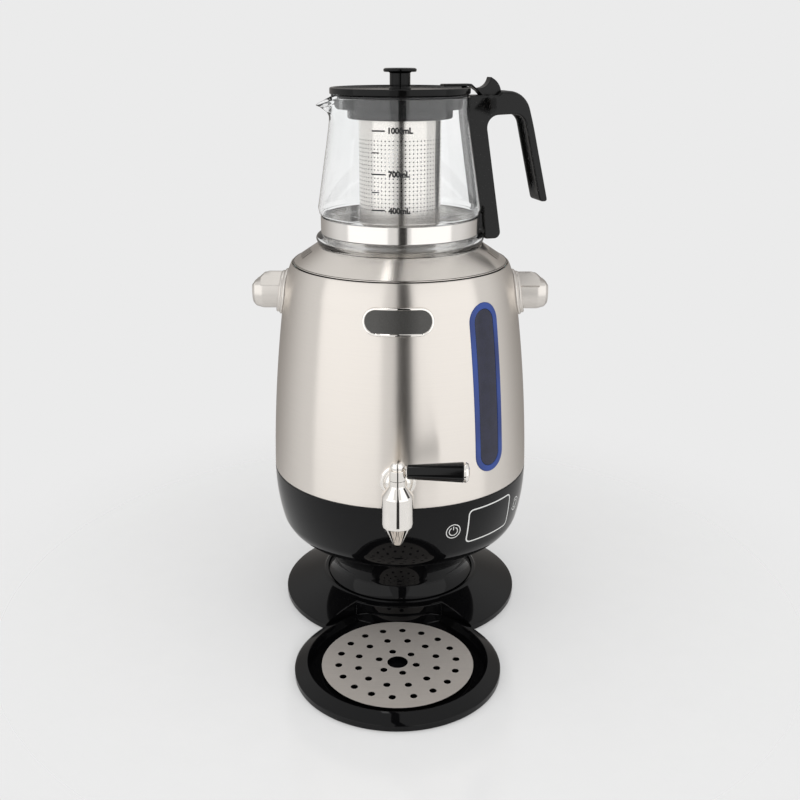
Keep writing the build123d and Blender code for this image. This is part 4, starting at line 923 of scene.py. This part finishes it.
# Arm, the two leaf-shaped curves of the thumb piece and the round hub about the pin.
thumb_outline = distinct(np.concatenate([
    rounded([(34, LID_TOP + 0.05, 0), (34, 433.0, 0.8), (57.0, 433.0, 1.5), (60.4, 430.2, 0)]),
    arc((60.4, 430.2), (67.4, 430.6), (72.7, 437.4), 14)[1:],
    arc((72.7, 437.4), (73.2, 437.9), (73.8, 437.5), 5)[1:],
    arc((73.8, 437.5), (78.5, 434.0), (81.5, 427.9), 14)[1:],
    arc((PIN_U + 4.5, PIN_Z + 1.0), (PIN_U, PIN_Z - 4.6), (PIN_U - 4.5, PIN_Z + 1.0), 18),
    [(62.6, 427.3), (57.0, LID_TOP + 0.05)]]))
piece("thumb_piece", "teapot_lid", "black_satin", "lid_lever", slab(thumb_outline, 5.0, 0.7), turn=POT_TURN)

# %% [markdown]
# ## Handle
# Seen from the side the handle is one closed outline, carried across its width. Three things change the
# outline on the way. Its rim is rounded, wide on top where the hand rests and narrow elsewhere. Between the
# two cheeks at the top it dips into a pocket for the lid's hub. And its inner side never comes nearer to the
# axis than the glass, so it wraps the pot like the real one. The long hollow for the fingers is sunk into
# the outer arm by the depth of a cylinder.

# %% Outline of the handle
HANDLE_HALF, POCKET_HALF, PIN_HOLE_R, PIN_HOLE_DEEP = 10.5, 5.3, 2.6, 2.5
HOLLOW_R, HOLLOW_OFFSET, GLASS_GAP = 8.5, 5.2, 0.35
HANDLE_POINTS = (
    (68.9, 311.8, 2.5), (83.4, 311.8, 5.0), (67.4, 409.0, 9.5), (99.6, 410.2, 10.0), (113.9, 350.5, 3.0),
    (116.5, 340.2, 3.5), (123.3, 340.2, 1.8), (101.9, 427.5, 19.0), (80.4, 427.5, 2.0), (77.2, 424.4, 2.0),
    (50.0, 424.4, 1.0), (50.0, 338.4, 1.0), (66.9, 338.4, 1.0))
POCKET = np.array([(16.4, 5.3), (16.4, 4.0), (15.8, 0.0), (14.6, -3.2), (12.6, -5.9), (9.5, -8.8),
                   (1.2, -5.2), (-7.4, -5.2), (-7.4, 2.2)]) + [PIN_U, PIN_Z]
outline = spaced(rounded(HANDLE_POINTS, closed=True, steps=16), 720, closed=True)


def nearest(line, point):
    """Number of the line's point that lies closest."""
    return int(np.argmin(np.hypot(*(line - point).T)))


outline = np.roll(outline, -nearest(outline, POCKET[0]), 0)
pocket_end = nearest(outline, POCKET[-1])
print("outline runs through the pocket's mouth for", pocket_end, "of", len(outline), "points")


# %% Handle
def end_cap(loop, y):
    """The flat end of the handle: the loop filled with triangles around the pin's hole, and the hole's wall
    and floor."""
    t = around(32)
    hole = np.stack([np.cos(t), np.sin(t)], -1) * PIN_HOLE_R + (PIN_U, PIN_Z)
    flat = [tuple(k) for k in np.concatenate([loop, hole])]
    rims = [list(range(len(loop))), list(range(len(loop), len(flat)))]
    edges = [(rim[k - 1], rim[k]) for rim in rims for k in range(len(rim))]
    filled = delaunay_2d_cdt(flat, edges, [], 5, 1e-5)
    points = np.array([(x, y, z) for x, z in filled[0]])
    inward = -math.copysign(PIN_HOLE_DEEP, y)
    wall = np.concatenate([np.insert(hole, 1, y, axis=1), np.insert(hole, 1, y + inward, axis=1)])
    floor = [list(range(len(t), 2 * len(t)))]
    return [(points, [list(f) for f in filled[2]]), (wall, squares(2, len(t)).tolist() + floor)]


def handle():
    """Loops of the outline at stations across the width. Rim: the loop draws in by e (1 - cos t) while y is
    short of the end by e (1 - sin t). Hollow: sqrt(R^2 - y^2) less the cylinder's offset. Glass:
    x is at least sqrt(r(z)^2 - y^2)."""
    dipped = outline.copy()
    dipped[:pocket_end + 1] = spaced(POCKET, pocket_end + 1)
    above = np.clip((outline[:, 1] - 400.0) / 22.0, 0, 1) * (outline[:, 0] > 79) * (outline[:, 1] > 411)
    outer = np.clip((outline[:, 1] - 400.0) / 20.0, 0, 1) * (outline[:, 0] > 101)
    edge = 1.3 + 2.5 * np.maximum(above, outer)
    edge = np.convolve(np.concatenate([edge[-8:], edge, edge[:8]]), np.ones(17) / 17, "valid")[None]
    t = np.linspace(0, np.pi / 2, 7)[:, None]
    rim_draw, rim_y = (edge * (1 - np.cos(t)))[::-1], (HANDLE_HALF - edge + edge * np.sin(t))[::-1]
    share = np.linspace(0, 1, 5)[1:, None]
    cheek_y = (HANDLE_HALF - edge) * (1 - share) + POCKET_HALF * share
    middle_y = np.linspace(POCKET_HALF, -POCKET_HALF, 13)[:, None] + 0 * edge
    y = np.concatenate([rim_y, cheek_y, middle_y, -cheek_y[::-1], -rim_y[::-1]])
    draw = np.concatenate([rim_draw, 0 * cheek_y, 0 * middle_y, 0 * cheek_y, rim_draw[::-1]])
    station, cheeks = np.arange(len(y)), len(rim_y) + len(cheek_y)
    dips = (station >= cheeks) & (station < cheeks + len(middle_y))
    number = np.arange(len(outline))
    first, last = sorted((nearest(outline, (92.0, 409.9)), nearest(outline, (115.2, 345.2))))
    fade = np.clip(np.minimum(number - first, last - number) / 16.0, 0, 1)
    hollow = np.sqrt(np.maximum(HOLLOW_R ** 2 - y ** 2, 0)) - HOLLOW_OFFSET
    sink = draw + np.maximum(hollow, 0) * fade * fade * (3 - 2 * fade)
    flat = np.where(dips[:, None, None], dipped, outline) + inward_normals(outline) * sink[..., None]
    glass_z = np.concatenate([GLASS_WALL[:, 1], [RIM_Z]])
    glass_r = np.interp(flat[..., 1], glass_z, np.concatenate([GLASS_WALL[:, 0], [MOUTH_R]]))
    beside = np.sqrt((glass_r + GLASS_GAP) ** 2 - y ** 2)
    across = np.where(flat[..., 1] > 336, np.maximum(flat[..., 0], beside), flat[..., 0])
    points = np.stack([across, y, flat[..., 1]], -1)
    sides = [(points.reshape(-1, 3), squares(len(y), len(outline)))]
    return sides + end_cap(points[0][:, [0, 2]], HANDLE_HALF) + end_cap(points[-1][:, [0, 2]], -HANDLE_HALF)


piece("pot_handle", "teapot", "black_satin", "teapot_handle", *handle(), turn=POT_TURN)

# %% [markdown]
# ## Drip tray
# Like the foot, the tray is a fan of outlines about its own centre. Its outer edge is a circle that is cut
# off by an arc about the boiler, and its well is a circle that opens along two straight lines to the two
# back corners. Both distances are read off for every direction.

# %% Drip tray
TRAY_LOW, TRAY_EDGE, TRAY_TOP, TRAY_INNER_R, CORNER_X = 0.6, 5.6, 10.4, 70.3, 35.0


def distance_to(line, angle):
    """Distance from the tray's centre to a closed line around it, looking along each angle."""
    x, y = line[:, 0], line[:, 1] - TRAY_Y
    directions = np.arctan2(y, x)
    order = np.argsort(directions)
    return np.interp(angle, directions[order], np.hypot(x, y)[order], period=2 * np.pi)


def tray():
    """Rows from the underside over the rim into the well; the rim's height is a cone about the centre."""
    back_y = -math.sqrt(TRAY_BACK_R ** 2 - CORNER_X ** 2)
    reach = math.hypot(CORNER_X, back_y - TRAY_Y)
    lean = math.atan2(CORNER_X, back_y - TRAY_Y) + math.acos(TRAY_INNER_R / reach)
    front = np.linspace(math.pi / 2 - lean, -math.pi * 1.5 + lean, 400)
    circle = np.stack([TRAY_INNER_R * np.cos(front), TRAY_Y + TRAY_INNER_R * np.sin(front)], -1)
    bend = np.linspace(-math.asin(CORNER_X / TRAY_BACK_R), math.asin(CORNER_X / TRAY_BACK_R), 120)
    back = np.stack([TRAY_BACK_R * np.sin(bend), -TRAY_BACK_R * np.cos(bend)], -1)
    side = np.linspace(0, 1, 60)[1:-1, None]
    well = np.concatenate([circle, circle[-1] + (back[0] - circle[-1]) * side, back,
                           back[-1] + (circle[0] - back[-1]) * side])
    corner, beside = math.atan2(back_y - TRAY_Y, CORNER_X), np.radians([-0.4, -0.15, 0, 0.15, 0.4])
    a = np.concatenate([np.radians(np.arange(0, 360, 1.5)), corner + beside, np.pi - corner + beside])
    a = np.unique(np.round(a, 6))
    outer = np.minimum(ray_to_circle(a - np.pi, TRAY_Y, TRAY_BACK_R), TRAY_R)
    inner = np.minimum(distance_to(well, a) - 0.9, ray_to_circle(a - np.pi, TRAY_Y, TRAY_BACK_R + 1.8))

    def height(r):
        return np.interp(r, (TRAY_INNER_R, TRAY_R), (TRAY_TOP, TRAY_EDGE))

    rows = [(0, TRAY_LOW), (40, TRAY_LOW), (outer - 0.6, TRAY_LOW), (outer - 0.15, 0.75), (outer, 1.2)]
    rows += [(outer - k, height(outer) - d) for k, d in ((0, 0.9), (0.1, 0.45), (0.35, 0.15), (0.8, -0.1))]
    for share in (0.05, 0.2, 0.5, 0.8, 0.95):
        r = outer - 0.8 + share * (inner + 0.5 - outer + 0.8)
        rows.append((r, height(r)))
    edge_z = height(inner + 0.5)
    rows += [(inner + 0.5, edge_z), (inner + 0.15, edge_z - 0.15), (inner, edge_z - 0.5)]
    rows += [(inner - 0.2, 3.2), (inner - 0.5, 2.4), (inner - 1.2, 2.0), (30, 2.0), (0, 2.0)]
    return fan(a, rows, TRAY_Y), squares(len(rows), len(a))


rib = rounded([(53, 1.9, 0), (53, 4.55, 0.3), (55.5, 4.55, 0.3), (55.5, 1.9, 0)], closed=True)
piece("tray_dish", "drip_tray", "black_gloss", "drip_tray", tray(),
      spun(rib, 96, centre=(0, TRAY_Y, 0), closed=True))

# %% [markdown]
# ## Grille
# The grille is a sheet over (angle, radius) with three rings of round holes. Its block borders are pulled
# to circles as before; here the plan is flat, so across is radius times angle only near the hole, and the
# pull works on x and y instead.

# %% Drip grille
GRILLE_R, GRILLE_TOP, DROP_R, CENTRE_R = 59.0, 5.6, 2.75, 8.0
# Each ring: its holes, its radius, the first hole's degrees, and the cells to each side of a hole.
GRILLE_RINGS = ((6, 15.0, -16.0, 14), (12, 31.3, 14.0, 8), (18, 46.0, 4.0, 6))


def round_pull(ring_r, first, count):
    """Pulls block borders to circles of the drop holes, by way of x and y."""
    hole = np.radians(first + 360.0 * np.arange(count) / count)[:, None]
    cx, cy = ring_r * np.sin(hole), ring_r * np.cos(hole)

    def pull(us):
        x, y = us[..., 1] * np.sin(us[..., 0]) - cx, us[..., 1] * np.cos(us[..., 0]) - cy
        far = np.hypot(x, y)
        x, y = cx + DROP_R * x / far, cy + DROP_R * y / far
        turn = np.arctan2(x, y)
        turn += np.round((us[..., 0] - turn) / (2 * np.pi)) * 2 * np.pi
        return np.stack([turn, np.hypot(x, y)], -1)
    return pull


grille_u = np.radians(np.arange(-2, 359, 1.0))
# Rows at both edges and between the rings, then nine rows across each ring's holes.
plain = [CENTRE_R, CENTRE_R + 0.25, 9.5, 20.5, 23.5, 36.8, 38.8, 51.5, 53.5, 56, 58.5, 58.8, GRILLE_R]
grille_v = np.unique(np.concatenate([plain, *[r + np.linspace(-5.5, 5.5, 9) for _, r, *_ in GRILLE_RINGS]]))
openings = []
for count, radius, first, cells in GRILLE_RINGS:
    start_u = np.round((first + 360.0 * np.arange(count) / count) % 360 - cells).astype(int) + 2
    start_v = int(np.argmin(np.abs(grille_v - (radius - 5.5))))
    openings.append((start_u, start_v, 2 * cells, 8, round_pull(radius, first, count)))
flat, faces = opened_sheet(grille_u, grille_v, openings, 2)
u, v = flat.T
# The grille's underside and the walls of its holes get steel_in_shade, painted shade.
piece("grille", "drip_grille", "grille_steel", "drip_grille",
      (xyz(v * np.sin(u), TRAY_Y + v * np.cos(u), GRILLE_TOP), faces), wall=0.95, inside="steel_in_shade")
print("grille holes:", 1 + sum(count for count, *_ in GRILLE_RINGS))

# %% [markdown]
# ## Prints
# The panel's signs are printed on the bowl in thick white ink, the pot's scale on the glass in black. Each
# is real geometry: a thin closed band or plate that lies just on the surface below it. A print is drawn on
# a plan of distances across and heights, and every plan point is then laid on the turned surface, at the
# azimuth across / radius.

# %% Bands and letters
PRINT_PROUD = 0.02, 0.10          # the scale's ink lies between these heights above the glass


def laid(plan, proud, outline_r, outline_z, azimuth):
    """x = r sin u, y = -r cos u with r = outline + proud and u = azimuth + across / r."""
    r = np.interp(plan[..., 1], outline_z, outline_r) + proud
    return facing(r, azimuth + plan[..., 0] / r, plan[..., 1])


def ribbon(path, width, low=-0.03, high=0.08, closed=True):
    """A line on the plan as a thin band: four lines beside it, two on the surface and two proud of it."""
    ahead = np.roll(path, -1, 0) - np.roll(path, 1, 0)
    if not closed:
        ahead[0], ahead[-1] = path[1] - path[0], path[-1] - path[-2]
    side = np.stack([-ahead[:, 1], ahead[:, 0]], -1) / np.linalg.norm(ahead, axis=1, keepdims=True)
    across = np.array([-width / 2, 0.05 - width / 2, width / 2 - 0.05, width / 2])
    plan = path[:, None] + side[:, None] * across[:, None]
    proud = np.broadcast_to(np.array([low, high, high, low]), plan.shape[:2])
    faces = squares(len(path), 4, closed_rows=closed).tolist()
    ends = [] if closed else [[0, 1, 2, 3], [len(path) * 4 - k for k in (1, 2, 3, 4)]]
    return plan, proud, faces + ends


def ring_line(x, z, radius, start=0.0, end=360.0):
    """Points of a circle, or of a part of one, about a point of the plan."""
    t = np.radians(np.linspace(start, end, 49))
    line = np.stack([x + radius * np.cos(t), z + radius * np.sin(t)], -1)
    return line[:-1] if end - start == 360 else line


def letters(words, left, middle, tall):
    """A text made a mesh; its width and height become the plan, its two faces lie low and high."""
    text = bpy.data.curves.new("letters", "FONT")
    text.body, text.extrude, text.offset, text.resolution_u = words, 1.0, 0.055, 4
    holder = bpy.data.objects.new("letters", text)
    mesh = bpy.data.meshes.new_from_object(holder)
    points = np.empty(len(mesh.vertices) * 3)
    mesh.vertices.foreach_get("co", points)
    points = points.reshape(-1, 3)
    faces = [list(face.vertices) for face in mesh.polygons]
    bottom, top = points[:, 1].min(), points[:, 1].max()
    scale = tall / (top - bottom)
    plan = np.stack([left + (points[:, 0] - points[:, 0].min()) * scale,
                     middle + (points[:, 1] - (bottom + top) / 2) * scale], -1)
    bpy.data.objects.remove(holder)
    bpy.data.meshes.remove(mesh)
    return plan, np.where(points[:, 2] > 0, *PRINT_PROUD[::-1]), faces


# %% Signs on the bowl, scale on the pot
ICON_AZ, PANEL_AZ, SECOND_AZ = math.radians(24.2), math.radians(44.7), math.radians(65.3)
bowl_side = bowl.r[1:-8], bowl.z[1:-8]
panel = spaced(rounded([(-24.5, 86.7, 4.0), (24.5, 86.7, 4.0), (24.5, 115.5, 4.0), (-24.5, 115.5, 4.0)],
                       closed=True), 240, closed=True)
signs = [(ICON_AZ, ribbon(ring_line(0, 100.2, 6.0), 0.75)),
         (ICON_AZ, ribbon(ring_line(0, 100.2, 3.6, 118, 422), 0.75, closed=False)),
         (ICON_AZ, ribbon(np.array([(0, 101.4), (0, 102.6), (0, 104.6)]), 0.75, closed=False)),
         (PANEL_AZ, ribbon(panel, 1.15)),
         (SECOND_AZ, ribbon(ring_line(0, 101.0, 3.4), 0.6)),
         (SECOND_AZ, ribbon(ring_line(0, 101.0, 5.7, 20, 130), 0.6, closed=False)),
         (SECOND_AZ, ribbon(ring_line(0, 101.0, 5.7, 200, 310), 0.6, closed=False))]
piece("panel_signs", "root", "white_ink", None,
      *[(laid(plan, proud, *bowl_side, azimuth), faces) for azimuth, (plan, proud, faces) in signs])

pot_side = pot_line(0, POT_LOW)
pot_side = pot_side[pot_side[:, 1] > 339.5].T
marks = []
for z, right, count, thick in (
        (402.1, -10.4, 13, 1.15), (371.4, -10.4, 13, 1.0), (345.8, -10.4, 13, 1.0), (386.7, -14.8, 8, 0.8),
        (358.5, -14.8, 8, 0.8)):
    path = np.stack([np.linspace(-20.4, right, count), np.full(count, z)], -1)
    marks.append(ribbon(path, thick, *PRINT_PROUD, closed=False))
for words, z in (("1000mL", 402.4), ("700mL", 371.6), ("400mL", 345.6)):
    marks.append(letters(words, -7.8, z, 4.7))
piece("pot_scale", "teapot", "black_ink", None,
      *[(laid(plan, proud, *pot_side, 0.0), faces) for plan, proud, faces in marks])

# %% [markdown]
# ## Finishes of the solids that stay
# The solids inside the body, the screws and the feet keep their meshes. Each brings the name of its
# finish with it, so its slot gets the finish of that name.

# %% Finish the remaining solids
for name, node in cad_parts.items():
    for place in node.material_slots:
        place.material = finishes[place.material.name.split(".")[0]]
print("nodes with a finish:", len(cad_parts))

# %% [markdown]
# ## Studio
# A pale, slightly see-through floor that fades into an even backdrop, two large soft lamps, a small one
# overhead and a dark card. The card hangs in front of and above the samovar: polished steel mirrors its
# surroundings, and without something dark in front it has no shape. The card is only seen by reflections
# and through glass. The sky has the backdrop's colour; in reflections it gets darker behind the samovar,
# which draws the edges of the steel. Glass bends rays and counts them as glossy too, so what is seen
# through glass is told apart, and is a little lighter than the backdrop.


# %% Floor and card
def stage_sheet(name, points, faces):
    """A few flat faces of the studio, in metres, with the finish of the same name."""
    mesh = bpy.data.meshes.new(name)
    mesh.from_pydata(points, [], faces)
    mesh.shade_smooth()
    mesh.materials.append(finishes[name])
    made = put(name, mesh)
    made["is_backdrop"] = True
    return made


BACKDROP = shade(235, 235, 235)
matt = Finish("floor", Roughness=0.12, IOR=1.75)
matt.tint(matt.noise((30.0, 30.0, 30.0)), (245, 245, 245), (247, 247, 247))
place = add_node(matt.tree, "TexCoord").outputs["Object"]
away = add_node(matt.tree, "VectorMath", {0: place}, operation="LENGTH").outputs["Value"]
fade = add_node(matt.tree, "MapRange", {"Value": away, "From Min": 0.18, "From Max": 0.50, "To Min": 0.35},
                interpolation_type="SMOOTHERSTEP").outputs["Result"]
clear = add_node(matt.tree, "BsdfTransparent").outputs["BSDF"]
mixed = add_node(matt.tree, "MixShader", {"Fac": fade, 1: matt.shader.outputs["BSDF"], 2: clear})
connect(matt.tree.nodes["Material Output"], {"Surface": mixed.outputs["Shader"]})
stage_sheet("floor", [(-1, -1, 0), (1, -1, 0), (1, 1, 0), (-1, 1, 0)], [[0, 1, 2, 3]])

Finish("card", Roughness=0.9, Base_Color=shade(30, 29, 28))
card = stage_sheet("card", [
    (-0.03, -0.30, 0.001), (0.05, -0.30, 0.001), (-0.03, -1.0, 0.001), (0.19, -1.0, 0.001),
    (-0.03, -1.0, 1.6), (0.19, -1.0, 1.6), (-0.125, 0.25, 1.6), (-0.055, 0.25, 1.6)],
    [[0, 1, 3, 2], [2, 3, 5, 4], [4, 5, 7, 6]])
card.visible_camera = card.visible_diffuse = card.visible_shadow = False
print("floor and card ready")


# %% Lamps and sky
def softbox(name, azimuth, distance, height, size, power):
    """A rectangular lamp that faces the samovar."""
    lamp = bpy.data.lights.new(name, "AREA")
    lamp.shape, lamp.size, lamp.size_y, lamp.energy = "RECTANGLE", size[0], size[1], power
    made = put(name, lamp)
    turn = math.radians(azimuth)
    made.location = (distance * math.sin(turn), -distance * math.cos(turn), height)
    made.rotation_euler = (math.radians(90) - math.atan2(height - 0.22, distance), 0, turn)
    return made


softbox("softbox_left", -47, 1.5, 0.5, (1.9, 1.9), 5.6)
softbox("softbox_right", 47, 1.5, 0.5, (1.9, 1.9), 5.3)
strip = softbox("softbox_above", 0, -0.12, 1.62, (0.10, 0.44), 0.28)
strip.location.x, strip.rotation_euler = -0.17, (0, 0, 0)

world = bpy.data.worlds.new("studio")
bpy.context.scene.world = world
world.use_nodes = True


def sky(kind, inputs=(), output=0, **settings):
    """An output of a new node in the sky's tree."""
    return add_node(world.node_tree, kind, inputs, **settings).outputs[output]


def ramp(source, end, start=0.0):
    """0 at the start, 1 at the end, smooth in between."""
    inputs = {"Value": source, "From Min": start, "From Max": end}
    return sky("MapRange", inputs, interpolation_type="SMOOTHSTEP")


def mix(share, first, second):
    """The first colour at a share of 0, the second at 1."""
    return sky("Mix", {0: share, 6: first, 7: second}, 2, data_type="RGBA")


toward = add_node(world.node_tree, "SeparateXYZ", {0: sky("TexCoord", output="Generated")}).outputs
ray = add_node(world.node_tree, "LightPath").outputs
low = sky("Math", {0: 1.0, 1: ramp(toward["Z"], 0.8, 0.2)}, operation="SUBTRACT")
behind = sky("Math", {0: ramp(toward["Y"], 1.05), 1: low}, operation="MULTIPLY")
straight = sky("Math", {0: 1.0, 1: ray["Is Transmission Ray"]}, operation="SUBTRACT")
seen = sky("Math", {0: ray["Is Glossy Ray"], 1: straight}, operation="MULTIPLY")
through = mix(ray["Is Transmission Ray"], BACKDROP, shade(245, 245, 245))
mirrored = mix(behind, BACKDROP, shade(150, 146, 142))
connect(world.node_tree.nodes["Background"], {"Color": mix(seen, through, mirrored)})
print("lamps and sky ready")

# %% [markdown]
# ## Camera
# The camera looks down at the samovar from just above the lid.

# %% Camera
camera_data = bpy.data.cameras.new("camera")
camera_data.lens, camera_data.sensor_width = 46.2, 36.0
camera_data.clip_start, camera_data.clip_end = 0.05, 50.0
camera = put("camera", camera_data)
camera.location = (0.0118, -0.826, 0.4602)
camera.rotation_euler = (math.radians(90 - 18.98), 0, math.radians(0.82))
bpy.context.scene.camera = camera
bpy.context.scene.view_settings.view_transform = "Standard"
print("camera height", round(camera.location.z, 4), "lens", round(camera_data.lens, 1))

# %% Sizes, then finish
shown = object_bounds()
for what, box in (("cad", cad_box), ("visual", shown)):
    print(what, "box", [[round(v, 4) for v in k] for k in box])
